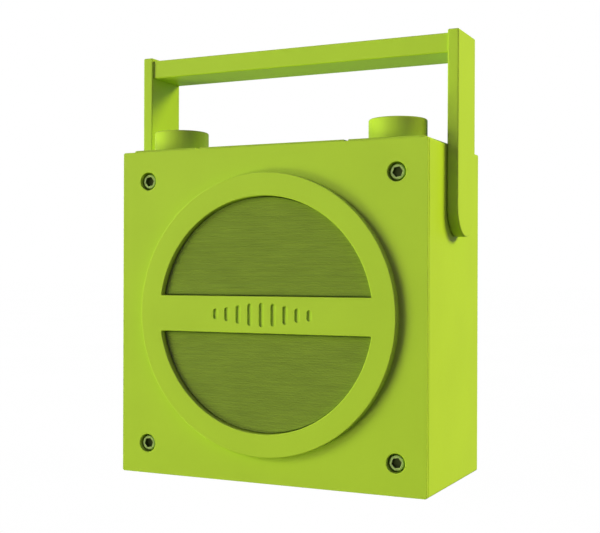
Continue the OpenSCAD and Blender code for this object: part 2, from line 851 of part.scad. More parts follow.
// Corrugated disc that centres the voice coil
module spider() {
    in_r = former_r + 0.15;
    waves = 3;
    steps = 24;
    function wave(t) = spider_y - spider_t - 0.8 * (1 - cos(360 * waves * t)) / 2;
    function at(t) = in_r + (spider_r - in_r) * t;
    front = [for (i = [0:steps]) [at(i / steps), wave(i / steps)]];
    back = [for (i = [steps:-1:0]) [at(i / steps), wave(i / steps) + spider_t]];
    color([0.75, 0.6, 0.3]) turned() polygon(concat(front, back));
}

module top_plate() {
    color(STEEL) ring(gap_r, 26, basket_back_y + 1.5, basket_back_y + 1.5 + plate_t);
}

module magnet() {
    y0 = basket_back_y + 1.5 + plate_t;
    color([0.25, 0.25, 0.27]) ring(15, 28, y0, y0 + magnet_t);
}

module yoke() {
    y0 = basket_back_y + 1.5;
    y1 = y0 + plate_t + magnet_t;
    color(STEEL) {
        ring(3, pole_r, y0, y1 + eps);
        ring(3, 25, y1, y1 + plate_t);
    }
}

// ---- Port door ----

module port_door() {
    half = door_w / 2 - door_gap;
    top = door_z + door_h - door_gap;
    color(LIME) difference() {
        union() {
            block([door_x - half, rear_y - door_t, door_pivot_z], [door_x + half, rear_y, top]);
            rod_x(door_pivot_y, door_pivot_z, knuckle_r, door_x - half, door_x + half);
        }
        rod_x(door_pivot_y, door_pivot_z, door_pin_r + 0.05, door_x - half - eps,
              door_x + half + eps);
        // Finger notch in the free edge
        translate([door_x, rear_y + 2, top]) rotate([0, 90, 0])
            cylinder(h = 14, r = 2.8, center = true);
    }
}

module port_door_pin() {
    color(STEEL) rod_x(door_pivot_y, door_pivot_z, door_pin_r - 0.01,
                       door_x - door_w / 2 - 2.8, door_x + door_w / 2 + 2.8);
}

module port_door_seal() {
    mid = (door_pivot_z + door_z + door_h) / 2 + 0.8;
    color(RUBBER) slab_y(rear_y - door_t - 1.2, rear_y - door_t) translate([door_x, mid])
        difference() {
            rounded_rect(door_w - 4, door_h - 7, 2);
            rounded_rect(door_w - 7, door_h - 10, 1.5);
        }
}

// ---- Boards, ports and battery ----

module main_board() {
    color(BOARD) difference() {
        block([main_board_lo[0], main_board_lo[1], main_board_z],
              [main_board_hi[0], main_board_hi[1], main_board_z + board_t]);
        for (x = main_board_posts_x, y = main_board_posts_y)
            rod_z(x, y, 1.1, main_board_z - eps, main_board_z + board_t + eps);
    }
}

// Radio module, amplifier, capacitors, charging socket and the board's screws
module board_components() {
    z = main_board_z + board_t;
    color([0.2, 0.2, 0.22]) {
        block([12, -16, z], [28, -2, z + 2.4]);
        block([34, -14, z], [44, -4, z + 1.6]);
        for (x = [32, 42])
            rod_z(x, 4, 4, z, z + 9);
    }
    color(STEEL) {
        difference() {
            block([usb_x - usb_w / 2, rear_y - 18, z], [usb_x + usb_w / 2, rear_y - 7.2, z + usb_h]);
            block([usb_x - usb_w / 2 + 0.4, rear_y - 15, z + 0.4],
                  [usb_x + usb_w / 2 - 0.4, rear_y, z + usb_h - 0.4]);
        }
        for (x = main_board_posts_x, y = main_board_posts_y) {
            rod_z(x, y, 2, z, z + 1.4);
            rod_z(x, y, board_screw_r, z - 5, z + 0.2);
        }
    }
}

module aux_jack() {
    z = main_board_z + board_t;
    y1 = rear_y - 8.7;
    color(RUBBER) difference() {
        union() {
            block([jack_x - 4.5, y1 - 12.5, z], [jack_x + 4.5, y1, z + 7.2]);
            rod_y(jack_x, jack_z, jack_nose_r, y1 - eps, rear_y - 7.2);
        }
        rod_y(jack_x, jack_z, jack_bore_r, rear_y - 7.2 - jack_bore_len, rear_y);
    }
}

module battery_cells() {
    color([0.2, 0.35, 0.6]) for (y = cell_ys) {
        rod_x(y, cell_z, cell_r, cell_x, cell_x + cell_len - 1);
        rod_x(y, cell_z, 2.6, cell_x + cell_len - 1.5, cell_x + cell_len);
    }
}

// Tray with end walls, and a strap post on each side
module battery_holder() {
    x0 = cell_x - 1.6;
    x1 = cell_x + cell_len + 1.6;
    color(RUBBER) {
        block([x0, -20, floor_z], [x1, 20, floor_z + tray_t]);
        for (x = [x0, x1 - 1.5])
            block([x, -20, floor_z], [x + 1.5, 20, cell_z + 4]);
        for (y = [-20, 18.7])
            block([x0, y, floor_z], [x1, y + 1.3, cell_z - 3]);
    }
}

// Leads from the battery, to the driver and to the button board
module wires() {
    z = main_board_z + board_t;
    lead_r = 0.6;
    tab_x = -flange_r + 1;
    lead_x = tab_x - lead_r - 0.5;
    color("firebrick") {
        wire([[cell_x + cell_len + 1.6, -6, z + 4], [5, -6, z + 4], [5, -6, z]], lead_r);
        for (k = [-1, 1]) {
            lead_y = flange_y + flange_t + 5 - 1.5 * k;
            lead_z = mid_z + 6 * k;
            wire([[8, 8 + 2 * k, z], [8, 8 + 2 * k, z + 22 + 2 * k], [lead_x, lead_y, z + 24 + 2 * k],
                  [lead_x, lead_y, lead_z], [tab_x, lead_y, lead_z]], lead_r);
        }
        wire([[48, 14, z], [48, 14, z + 80], [40, 7, button_board_z - 10],
              [40, 7, button_board_z]], lead_r);
    }
}

cabinet();
front_panel();
front_gasket();
front_screws();
speaker_ring();
ring_screws();
grille_cloth();
grille_frame();
rear_cover();
rear_gasket();
rear_screws();
base_pad();
top_deck();
volume_knob();
volume_shaft();
volume_control();
tuning_knob();
tuning_shaft();
tuning_encoder();
control_nuts();
control_washers();
button_power();
button_source();
button_previous();
button_play();
button_next();
button_board();
tact_switches();
button_board_screws();
status_light();
handle_arm_left();
handle_arm_right();
handle_crossbar();
pivot_pins();
pivot_bushes();
pivot_washers();
friction_washers();
pivot_clips();
driver_basket();
driver_gasket();
driver_screws();
driver_terminals();
surround();
speaker_cone();
dust_cap();
voice_coil();
spider();
top_plate();
magnet();
yoke();
bass_port();
port_door();
port_door_pin();
port_door_seal();
main_board();
board_components();
aux_jack();
battery_cells();
battery_holder();
wires();
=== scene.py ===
"""Looks for the portable speaker: bevelled casings, woven grille, materials, studio and camera.

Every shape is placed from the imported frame, in metres: +Z up, the front faces -Y.
"""

import json
import math

import bmesh
import bpy
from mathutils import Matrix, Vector

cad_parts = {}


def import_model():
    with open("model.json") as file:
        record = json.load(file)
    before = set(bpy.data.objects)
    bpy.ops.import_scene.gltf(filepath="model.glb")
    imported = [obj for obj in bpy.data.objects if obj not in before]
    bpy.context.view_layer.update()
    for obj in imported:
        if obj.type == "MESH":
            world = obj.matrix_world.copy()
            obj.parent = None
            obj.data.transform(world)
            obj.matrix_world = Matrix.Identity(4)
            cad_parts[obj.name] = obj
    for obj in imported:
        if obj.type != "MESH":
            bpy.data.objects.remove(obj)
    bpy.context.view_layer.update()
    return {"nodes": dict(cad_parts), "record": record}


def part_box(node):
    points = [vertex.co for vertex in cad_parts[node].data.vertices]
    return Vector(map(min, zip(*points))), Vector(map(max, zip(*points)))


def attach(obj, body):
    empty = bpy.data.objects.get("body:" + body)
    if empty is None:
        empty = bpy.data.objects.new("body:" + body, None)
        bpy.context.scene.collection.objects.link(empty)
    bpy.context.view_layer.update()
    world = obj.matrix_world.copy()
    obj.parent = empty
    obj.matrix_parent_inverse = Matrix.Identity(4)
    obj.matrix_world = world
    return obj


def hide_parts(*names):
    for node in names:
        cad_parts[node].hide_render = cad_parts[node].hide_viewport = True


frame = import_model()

MM = 0.001

# Planes a shape is drawn in: (u, v, depth) to a point
PLANES = {
    "front": lambda u, v, d: Vector((u, d, v)),
    "top": lambda u, v, d: Vector((u, v, d)),
    "side": lambda u, v, d: Vector((d, u, v)),
}
SHARP_ANGLE = math.radians(40)
BEVEL_STEPS = 4

# Rounding of edges, from the finest up
TINY_R = 0.1 * MM                   # edges that face inwards
HAIR_R = 0.15 * MM
CRISP_R = 0.2 * MM                  # the front panel's edge
FINE_R = 0.25 * MM                  # recesses and pockets in the back
SOFT_R = 0.3 * MM
SMALL_R = 0.35 * MM                 # plates
MOUTH_R = 0.45 * MM                 # the ring's openings and the screw heads
CAP_R = 0.5 * MM                    # the deck, the button caps and the light
EDGE_R = 1 * MM                     # the cabinet's rear edge

# Sizes that no box of the frame gives
CASING_CORNER_R = 1 * MM            # corners of the casing, seen from the front
RIM_T = 1.6 * MM                    # rim of the front panel
PLUG_GAP = 3.2 * MM                 # the panel's plug is this far inside its rim
RECESS_R = 4.3 * MM                 # round recess at each corner screw
SCREW_SUNK = 1.2 * MM
HEAD_R = 3.4 * MM
HEAD_H = 3 * MM
SHANK_R = 1.98 * MM
KNURL_DEPTH = 0.12 * MM
KNURL_STEPS = 120                   # points round a screw head, four to a ridge
HEX_R = 2.4 * MM                    # hexagon socket, to its corners
HEX_TURN = 10                       # degrees that the sockets are turned by
HEX_EDGE_R = 0.18 * MM
# Below HEX_EDGE_H each socket gets a darker copy of the screw colour: painted shade of the socket's
# depth
HEX_EDGE_H = 0.3 * MM               # the socket's paint ends at this depth
SHANK_TIP = (0.6 * MM, 0.8 * MM)    # chamfer at the shank's end, inwards and along it
SOCKET_DEPTH = 0.8                  # of the screw head's height
SCREW_HOLE_R = 2.15 * MM            # under the screw heads
BAFFLE_R = 46.2 * MM                # opening behind the grille
RING_SEAT = 3.5 * MM                # depth of the ring's seat in the panel
GRILLE_GAP = 0.1 * MM               # from the cloth's edge to the ring's spigot
SPIGOT_GAP = 0.05 * MM              # from the spigot to its seat in the panel
RING_EDGE_R = 0.55 * MM             # rounding of the ring's outer edge
OPENING_CORNER_R = 0.5 * MM
OPENING_R = 54.3 * MM               # openings in the speaker ring
BAR_H = 16.9 * MM                   # bar across the ring
GROOVES = 9                         # level bars sunk in the bar's face
GROOVE_W = 2.4 * MM
GROOVE_DEPTH = 0.8 * MM
GROOVE_PITCH = 6 * MM
GROOVE_LOW = 0.28                   # least height of a level bar, as a share of BAR_H
GROOVE_SWELL = 0.36                 # added to it in the middle of the row
GROOVE_TURN = 20                    # degrees of the swell from one level bar to the next
WALL = 3 * MM
BUSH_HOLE_R = 4.52 * MM
POCKET_GAP = 0.1 * MM               # between the deck and the casing
POCKET_CORNER_R = 3.1 * MM
FLARE_MID = 0.08 * MM               # middle of the pocket's flared edge
PAD_CORNER_R = 6 * MM
PAD_TOP_R = 0.05 * MM
COVER_T = 2.5 * MM                  # thickness of the rear cover's plate
COVER_HEAD_FLOOR = 1.6 * MM         # depth of the recesses for its screws
COVER_HEAD_H = 1.5 * MM
COVER_HEAD_SUNK = 0.1 * MM
PORT_FLANGE_T = 1 * MM              # flange of the bass port
PORT_SEAT_GAP = 0.05 * MM           # round it
PORT_HOLE_R = 13.5 * MM             # hole that its tube goes through
PORT_TUBE_R = 13.4 * MM
PORT_BORE_R = 11.4 * MM
PORT_FLARE_R = 5 * MM
DOOR_GAP = 0.25 * MM                # round the port door
DOOR_T = 2 * MM
DOOR_POCKET_WALL = 1.5 * MM         # walls and floor of the pocket behind the door
DOOR_POCKET_CORNER_R = 0.6 * MM     # of its mouth
DOOR_BOX_CORNER_R = 0.8 * MM        # and of its outside
KNUCKLE_R = 1.5 * MM                # hinge knuckle of the door
DOOR_PIN_HOLE_R = 0.85 * MM
NOTCH_R = 2.8 * MM                  # finger notch in the door
NOTCH_OUT = 2 * MM                  # its centre is this far behind the door
NOTCH_HALF_W = 7 * MM
NOTCH_EDGE_R = 0.6 * MM
JACK_AXIS_UP = 3.6 * MM             # the jack's axis above its lower side
JACK_HOLE_R = 3.7 * MM
SOCKET_X = (35.4 * MM, 44.6 * MM)   # opening for the charging socket
SOCKET_BELOW = 0.1 * MM             # its edges, below and above the jack's lower side
SOCKET_H = 3.3 * MM
SOCKET_CORNER_R = 1.2 * MM
DECK_CORNER_R = 3 * MM
DECK_GROOVE_X = 38.4 * MM
DECK_GROOVE_W = 2.1 * MM
DECK_GROOVE_EDGE_R = 0.4 * MM
DECK_GROOVE_OVERRUN = (5 * MM, 1 * MM)  # its cutter runs past the deck, lengthwise and upwards
SHAFT_HOLE_R = 3.6 * MM
LIGHT_Y = -12 * MM
LIGHT_R = 1.5 * MM
LIGHT_HOLE_R = 1.55 * MM
BUTTON_GAP = 0.2 * MM
BUTTON_FLANGE = 0.8 * MM            # flange under the deck, round a button's cap
BUTTON_CORNER_R = 1 * MM
BUTTON_SKIRT = 1 * MM               # the caps reach this far below the deck
STEM_R = 1.5 * MM
ICON_DEPTH = 0.3 * MM               # symbols sunk in the button caps
ICON_EDGE = 0.06 * MM
TRIANGLE_BACK = 0.7                 # from a triangle's middle to its base, in its sizes
TRIANGLE_R = 0.22 * MM
PLAY_X = -0.5 * MM
PLAY_SIZE = 1.7 * MM
SKIP_X = (-1.5 * MM, 1.3 * MM)
SKIP_SIZE = 1.35 * MM
SOURCE_PITCH = 1.5 * MM             # three upright bars that grow by SOURCE_RISE
SOURCE_W = 0.7 * MM
SOURCE_H = 2.2 * MM
SOURCE_RISE = 1 * MM
POWER_RING_R = 1.9 * MM
POWER_RING_Y = -0.2 * MM
POWER_ARC = (-235, 55)              # degrees
POWER_HALF_W = 0.33 * MM
POWER_LINE_Y = 1.3 * MM
POWER_LINE_H = 2.4 * MM
KNOB_EDGE_R = 0.9 * MM
KNOB_LINE = (1.3 * MM, 6.4 * MM)    # pointer line, width and length
KNOB_LINE_AT = 0.6                  # its middle, as a share of the knob's radius
KNOB_LINE_DEPTH = 0.5 * MM
KNOB_CAVITY_R = 8.5 * MM
KNOB_CAVITY_H = 3.7 * MM
ARM_CORNER_R = 0.8 * MM
ARM_EDGE_R = 0.6 * MM
CROSSBAR_CORNER_R = 0.7 * MM
CROSSBAR_END_GAP = 0.08 * MM
THREAD_PITCH = 1.05 * MM            # from one row of the grille cloth to the next
THREAD_STEPS = 6                    # mesh rows in one row of thread
THREAD_COLUMNS = 200
THREAD_RISE = 0.2 * MM
THREAD_SHARE = 0.78                 # share of THREAD_RISE that a ridge stands out, on average
# Wander of that share along a thread: amount, length along X, shift from row to row
THREAD_WANDER = [(0.14, 2.9 * MM, 2.4), (0.1, 7.3 * MM, 1)]
ROW_REACH = 0.9995                  # the outermost rows stop just inside the cloth's edge
FIELD_GAP = 0.2 * MM                # groove between the ring and the cloth's padded fields
FIELD_ROLL = 0.4 * MM
CLOTH_EDGE = 0.2 * MM               # the cloth ends this far inside its seat


# ---- Outlines: closed lists of (u, v), anticlockwise ----

def arc(cu, cv, r, start, end, steps):
    """Points on an arc, both ends included; angles in degrees."""
    angles = [math.radians(start + (end - start) * i / steps) for i in range(steps + 1)]
    return [(cu + r * math.cos(a), cv + r * math.sin(a)) for a in angles]


def circle(cu, cv, r, steps=96):
    return arc(cu, cv, r, 0, 360, steps)[:-1]


def rounded_rect(u0, v0, u1, v1, r, steps=6):
    return (arc(u1 - r, v0 + r, r, -90, 0, steps) + arc(u1 - r, v1 - r, r, 0, 90, steps)
            + arc(u0 + r, v1 - r, r, 90, 180, steps) + arc(u0 + r, v0 + r, r, 180, 270, steps))


def stadium(cu, cv, w, h, steps=12):
    r = w / 2
    half = h / 2 - r
    return arc(cu, cv + half, r, 0, 180, steps) + arc(cu, cv - half, r, 180, 360, steps)


def rounded_polygon(corners, r, steps=5):
    """A convex polygon, anticlockwise, with its corners rounded to radius r."""
    points = []
    count = len(corners)
    for i, corner in enumerate(corners):
        here = Vector(corner)
        back = (Vector(corners[i - 1]) - here).normalized()
        ahead = (Vector(corners[(i + 1) % count]) - here).normalized()
        half = back.angle(ahead) / 2
        centre = here + (back + ahead).normalized() * r / math.sin(half)
        start = here + back * r / math.tan(half) - centre
        turn = math.pi - 2 * half
        first = math.atan2(start.y, start.x)
        for k in range(steps + 1):
            a = first + turn * k / steps
            points.append((centre.x + r * math.cos(a), centre.y + r * math.sin(a)))
    return points


def grown(outline, distance):
    """The outline moved outwards by a distance, with mitred corners."""
    out = []
    count = len(outline)
    for i, point in enumerate(outline):
        here = Vector(point)
        into = (here - Vector(outline[i - 1])).normalized()
        away = (Vector(outline[(i + 1) % count]) - here).normalized()
        normal = Vector((into.y + away.y, -into.x - away.x)).normalized()
        stretch = max(0.5, normal.dot(Vector((away.y, -away.x))))
        out.append(here + normal * distance / stretch)
    return out


def rounding(depth, towards, radius, sign, steps=BEVEL_STEPS):
    """(grow, depth) steps from a flat cap at depth into a wall that runs towards another depth."""
    side = math.copysign(1, towards - depth)
    result = []
    for i in range(steps + 1):
        t = math.pi / 2 * i / steps
        result.append((sign * radius * (1 - math.sin(t)), depth + side * radius * (1 - math.cos(t))))
    return result


def straight(a, b, ra, rb, sign=-1):
    """A wall from depth a to depth b, rounded into the caps at both ends. sign is 1 for a hole."""
    return rounding(a, b, ra, sign) + rounding(b, a, rb, sign)[::-1]


class Shape:
    """A closed mesh of walls that follow outlines and flat caps that join them."""

    def __init__(self, plane):
        self.bm = bmesh.new()
        self.place = PLANES[plane]
        self.paint = 0                  # index of the material for the next faces

    def wall(self, outline, profile):
        """Rings of vertices along (grow, depth) steps; returns the first and the last ring."""
        rings = []
        for grow, depth in profile:
            points = grown(outline, grow)
            rings.append([self.bm.verts.new(self.place(p[0], p[1], depth)) for p in points])
        for a, b in zip(rings, rings[1:]):
            for i in range(len(a)):
                j = (i + 1) % len(a)
                self.bm.faces.new((a[i], a[j], b[j], b[i])).material_index = self.paint
        return rings[0], rings[-1]

    def through(self, outline, profile, starts, ends):
        """A wall whose first and last ring are added to two lists, for a cap with holes."""
        first, last = self.wall(outline, profile)
        starts.append(first)
        ends.append(last)

    def cap(self, *rings):
        """A flat face bounded by one ring, or by an outer ring and the holes in it."""
        if len(rings) == 1:
            self.bm.faces.new(rings[0]).material_index = self.paint
            return
        edges = []
        for ring in rings:
            for i in range(len(ring)):
                edges.append(self.bm.edges.get((ring[i - 1], ring[i])))
        bmesh.ops.triangle_fill(self.bm, use_beauty=True, use_dissolve=False, edges=edges)

    def plate(self, outline, a, b, ra, rb):
        """A solid between two flat caps."""
        first, last = self.wall(outline, straight(a, b, ra, rb))
        self.cap(first)
        self.cap(last)

    def make(self, name, material, body=None, replaces=(), second=None):
        bmesh.ops.remove_doubles(self.bm, verts=self.bm.verts, dist=1e-7)
        bmesh.ops.recalc_face_normals(self.bm, faces=self.bm.faces)
        mesh = bpy.data.meshes.new(name)
        self.bm.to_mesh(mesh)
        self.bm.free()
        piece = bpy.data.objects.new(name, mesh)
        bpy.context.scene.collection.objects.link(piece)
        mesh.materials.append(material)
        if second:
            mesh.materials.append(second)
        if body:
            settle(piece, body, replaces)
        return piece


def soften(piece):
    """Smooth shading that stays flat on flat faces and crisp at sharp edges."""
    mesh = piece.data
    mesh.shade_smooth()
    mesh.set_sharp_from_angle(angle=SHARP_ANGLE)
    weighted = piece.modifiers.new("weighted", "WEIGHTED_NORMAL")
    weighted.keep_sharp = True
    weighted.weight = 80


def settle(piece, body, replaces):
    soften(piece)
    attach(piece, body)
    if replaces:
        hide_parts(*replaces)


def cut(piece, cutter):
    """Takes the cutter's volume out of the piece and deletes the cutter."""
    change = piece.modifiers.new("cut", "BOOLEAN")
    change.operation = "DIFFERENCE"
    change.solver = "EXACT"
    change.object = cutter
    bpy.context.view_layer.update()
    graph = bpy.context.evaluated_depsgraph_get()
    result = bpy.data.meshes.new_from_object(piece.evaluated_get(graph))
    piece.modifiers.clear()
    old = piece.data
    piece.data = result
    bpy.data.meshes.remove(old)
    bpy.data.objects.remove(cutter)


# ---- Materials ----

# Sockets of a mix node that are in use when it mixes colours
MIX_FACTOR, MIX_A, MIX_B, MIX_RESULT = 0, 6, 7, 2


class Nodes:
    """A material's node tree with short calls for what the materials share."""

    def __init__(self, name):
        self.material = bpy.data.materials.new(name)
        self.material.use_nodes = True
        self.tree = self.material.node_tree
        self.shader = self.tree.nodes["Principled BSDF"]
        self.where = self.add("ShaderNodeTexCoord").outputs["Object"]

    def add(self, kind, **inputs):
        node = self.tree.nodes.new(kind)
        for key, value in inputs.items():
            node.inputs[key.replace("_", " ")].default_value = value
        return node

    def link(self, a, b):
        self.tree.links.new(a, b)

    def noise(self, scale, detail=3, stretch=None):
        node = self.add("ShaderNodeTexNoise", Scale=scale, Detail=detail)
        source = self.where
        if stretch:
            mapping = self.add("ShaderNodeMapping", Scale=stretch)
            self.link(source, mapping.inputs["Vector"])
            source = mapping.outputs["Vector"]
        self.link(source, node.inputs["Vector"])
        return node.outputs["Fac"]

    def ramp(self, factor, low, high, start=0.35, end=0.65):
        node = self.add("ShaderNodeValToRGB")
        node.color_ramp.elements[0].position = start
        node.color_ramp.elements[0].color = low
        node.color_ramp.elements[1].position = end
        node.color_ramp.elements[1].color = high
        self.link(factor, node.inputs["Fac"])
        return node.outputs["Color"]

    def blend(self, factor, a, b):
        node = self.tree.nodes.new("ShaderNodeMix")
        node.data_type = "RGBA"
        node.inputs[MIX_FACTOR].default_value = factor
        self.link(a, node.inputs[MIX_A])
        self.link(b, node.inputs[MIX_B])
        return node.outputs[MIX_RESULT]

    def set(self, **inputs):
        for key, value in inputs.items():
            self.shader.inputs[key.replace("_", " ")].default_value = value

    def colour(self, source):
        self.link(source, self.shader.inputs["Base Color"])

    def roughness(self, factor, low, high):
        node = self.add("ShaderNodeMapRange")
        node.inputs["To Min"].default_value = low
        node.inputs["To Max"].default_value = high
        self.link(factor, node.inputs["Value"])
        self.link(node.outputs["Result"], self.shader.inputs["Roughness"])

    def bump(self, height, strength, distance):
        node = self.add("ShaderNodeBump", Strength=strength, Distance=distance)
        self.link(height, node.inputs["Height"])
        self.link(node.outputs["Normal"], self.shader.inputs["Normal"])


def shade(colour, factor):
    """A lighter or darker colour, with an alpha of 1."""
    return tuple(min(1.0, c * factor) for c in colour[:3]) + (1.0,)


LIME = (0.483, 0.70, 0.036)
OLIVE = (0.214, 0.308, 0.0265)


def moulded_plastic(name, colour, grain=0.12, roughness=(0.42, 0.52)):
    """Satin moulded plastic: slight colour drift, fine grain and faint flow marks."""
    n = Nodes(name)
    drift = n.ramp(n.noise(28), shade(colour, 0.965), shade(colour, 1.025))
    specks = n.ramp(n.noise(3200, 2), shade(colour, 0.95), shade(colour, 1.03), 0.3, 0.7)
    n.colour(n.blend(0.35, drift, specks))
    n.roughness(n.noise(900), *roughness)
    n.bump(n.noise(5200, 2), grain, 0.02 * MM)
    n.set(Specular_IOR_Level=0.25)
    return n.material


def brushed_metal(name, colour, roughness=(0.24, 0.42), stretch=(1, 1, 14)):
    n = Nodes(name)
    lines = n.noise(1800, 4, stretch)
    n.colour(n.ramp(lines, shade(colour, 0.82), shade(colour, 1.05)))
    n.roughness(lines, *roughness)
    n.bump(lines, 0.15, 0.02 * MM)
    n.set(Metallic=1.0)
    return n.material


def rubber(name, colour):
    n = Nodes(name)
    n.colour(n.ramp(n.noise(1400), shade(colour, 0.75), shade(colour, 1.25)))
    n.roughness(n.noise(700), 0.68, 0.85)
    n.bump(n.noise(3600, 3), 0.3, 0.03 * MM)
    return n.material


def woven_cloth(name, colour):
    """Knitted cloth: light and dark threads along X, darker between the rows."""
    n = Nodes(name)
    threads = n.noise(420, 3, (0.16, 1, 3.2))
    patches = n.noise(60, 2)
    light = n.ramp(threads, shade(colour, 0.88), shade(colour, 1.10))
    soft = n.ramp(patches, shade(colour, 0.92), shade(colour, 1.06))
    n.colour(n.blend(0.4, light, soft))
    n.roughness(threads, 0.78, 0.95)
    n.bump(n.noise(2600, 4, (0.35, 1, 1)), 0.35, 0.05 * MM)
    n.set(Sheen_Weight=0.15, Sheen_Roughness=0.5, Specular_IOR_Level=0.2)
    return n.material


def circuit_board(name):
    """Green solder mask with faint copper traces under it."""
    n = Nodes(name)
    tracks = n.add("ShaderNodeTexBrick", Scale=260.0, Mortar_Size=0.03)
    n.link(n.where, tracks.inputs["Vector"])
    tracks.inputs["Color1"].default_value = (0.008, 0.10, 0.035, 1)
    tracks.inputs["Color2"].default_value = (0.006, 0.085, 0.03, 1)
    tracks.inputs["Mortar"].default_value = (0.03, 0.20, 0.06, 1)
    n.colour(tracks.outputs["Color"])
    n.roughness(n.noise(800), 0.22, 0.4)
    return n.material


def ferrite(name):
    n = Nodes(name)
    n.colour(n.ramp(n.noise(1500), (0.03, 0.03, 0.033, 1), (0.07, 0.07, 0.075, 1)))
    n.roughness(n.noise(900), 0.55, 0.75)
    n.bump(n.noise(2400), 0.35, 0.05 * MM)
    n.set(Metallic=0.25)
    return n.material


def clear_lens(name):
    n = Nodes(name)
    n.colour(n.ramp(n.noise(600), (0.72, 0.80, 0.55, 1), (0.80, 0.88, 0.62, 1)))
    n.roughness(n.noise(900), 0.12, 0.2)
    n.set(Transmission_Weight=0.35, Subsurface_Weight=0.1)
    return n.material


LIME_PLASTIC = moulded_plastic("lime_plastic", LIME)
KNOB_PLASTIC = moulded_plastic("knob_plastic", LIME, 0.1, (0.38, 0.48))
HANDLE_PLASTIC = moulded_plastic("handle_plastic", LIME, 0.12)
DARK_PLASTIC = moulded_plastic("dark_plastic", (0.022, 0.022, 0.024), 0.2, (0.5, 0.65))
COMPONENT = moulded_plastic("component_plastic", (0.03, 0.03, 0.032), 0.1, (0.35, 0.5))
CELL_WRAP = moulded_plastic("cell_wrap", (0.02, 0.09, 0.34), 0.05, (0.18, 0.3))
LEAD = moulded_plastic("lead_insulation", (0.45, 0.02, 0.015), 0.05, (0.35, 0.5))
SCREW_PAINT = moulded_plastic("screw_paint", (0.36, 0.49, 0.13), 0.3, (0.3, 0.4))
# Darker olive copy of the screw paint for the socket walls and floors: painted shade deep in the
# hexagon sockets
SOCKET_PAINTED_SHADE = brushed_metal("socket_painted_shade", (0.17, 0.22, 0.07), (0.5, 0.65))
STEEL = brushed_metal("steel", (0.56, 0.57, 0.58))
BRASS = brushed_metal("brass", (0.72, 0.55, 0.24))
COPPER = brushed_metal("copper", (0.75, 0.36, 0.16), (0.3, 0.45), (1, 30, 1))
BLACK_METAL = brushed_metal("basket_metal", (0.05, 0.05, 0.055), (0.4, 0.55))
RUBBER = rubber("rubber", (0.022, 0.022, 0.024))
GASKET = rubber("gasket_rubber", (0.42, 0.62, 0.045))
CONE_PAPER = rubber("cone_paper", (0.02, 0.02, 0.02))
GRILLE = woven_cloth("grille_cloth", OLIVE)
SPIDER_CLOTH = woven_cloth("spider_cloth", (0.42, 0.25, 0.07))
BOARD = circuit_board("circuit_board")
FERRITE = ferrite("ferrite")
LENS = clear_lens("light_lens")

NODE_MATERIALS = {
    "rubber": RUBBER, "inner_plastic": DARK_PLASTIC, "steel": STEEL, "brass": BRASS,
    "copper": COPPER, "basket_metal": BLACK_METAL, "cone_paper": CONE_PAPER,
    "spider_cloth": SPIDER_CLOTH, "circuit_board": BOARD, "component": COMPONENT,
    "cell_wrap": CELL_WRAP, "lead": LEAD, "ferrite": FERRITE, "lens": LENS,
    "shell": LIME_PLASTIC, "ring": LIME_PLASTIC, "handle": HANDLE_PLASTIC, "knob": KNOB_PLASTIC,
    "button": KNOB_PLASTIC, "painted_screw": SCREW_PAINT, "grille_cloth": GRILLE,
}


def finish_cad_nodes():
    """Gives every CAD node the material of its record slot."""
    for part in frame["record"]["subparts"]:
        node = frame["nodes"][part["node"]]
        material = NODE_MATERIALS[part["material_slot"]]
        if part["node"] == "front_gasket":
            material = GASKET
        node.data.materials.clear()
        node.data.materials.append(material)


# ---- Places read from the frame ----

PANEL_LO, PANEL_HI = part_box("front_panel")
SHELL_LO, SHELL_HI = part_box("cabinet")
RING_LO, RING_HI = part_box("speaker_ring")
DECK_LO, DECK_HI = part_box("top_deck")
COVER_LO, COVER_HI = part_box("rear_cover")
DOOR_LO, DOOR_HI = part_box("port_door")
GRILLE_LO, GRILLE_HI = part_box("grille_cloth")
MID_Z = (PANEL_LO.z + PANEL_HI.z) / 2
SPIGOT_R = (GRILLE_HI.z - GRILLE_LO.z) / 2 + GRILLE_GAP
SEAT_R = SPIGOT_R + SPIGOT_GAP
FIELD_RISE = RING_HI.y - GRILLE_LO.y


def corner_screws(node):
    """The four screw axes of a set, as (x, z)."""
    lo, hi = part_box(node)
    xs = (lo.x + HEAD_R, hi.x - HEAD_R)
    zs = (lo.z + HEAD_R, hi.z - HEAD_R)
    return [(x, z) for x in xs for z in zs]


# ---- Front ----

def screw_recess(floor, end):
    """The last steps of a screw's hole: the recess's floor and the hole for the shank."""
    step = SCREW_HOLE_R - RECESS_R
    return [(0, floor), (step, floor), (step, end)]


def front_panel():
    """Square panel with a round seat for the ring and a recess for each corner screw."""
    s = Shape("front")
    front, back = PANEL_LO.y, PANEL_HI.y
    outline = rounded_rect(PANEL_LO.x, PANEL_LO.z, PANEL_HI.x, PANEL_HI.z, CASING_CORNER_R)
    rim_end = front + RIM_T
    rim = rounding(front, back, CRISP_R, -1)
    rim += [(0, rim_end - HAIR_R), (-HAIR_R, rim_end), (-PLUG_GAP, rim_end), (-PLUG_GAP, back)]
    fronts, backs = [], []
    s.through(outline, rim, fronts, backs)
    head_end = front + SCREW_SUNK + HEAD_H
    for x, z in corner_screws("front_screws"):
        profile = rounding(front, back, SMALL_R, 1) + screw_recess(head_end, back)
        s.through(circle(x, z, RECESS_R, 64), profile, fronts, backs)
    seat = front + RING_SEAT
    step = BAFFLE_R - SEAT_R
    profile = rounding(front, back, CRISP_R, 1) + [(0, seat), (step, seat), (step, back)]
    s.through(circle(0, MID_Z, SEAT_R, 160), profile, fronts, backs)
    s.cap(*fronts)
    s.cap(*backs)
    return s.make("front_panel_shell", LIME_PLASTIC, "housing", ["front_panel"])


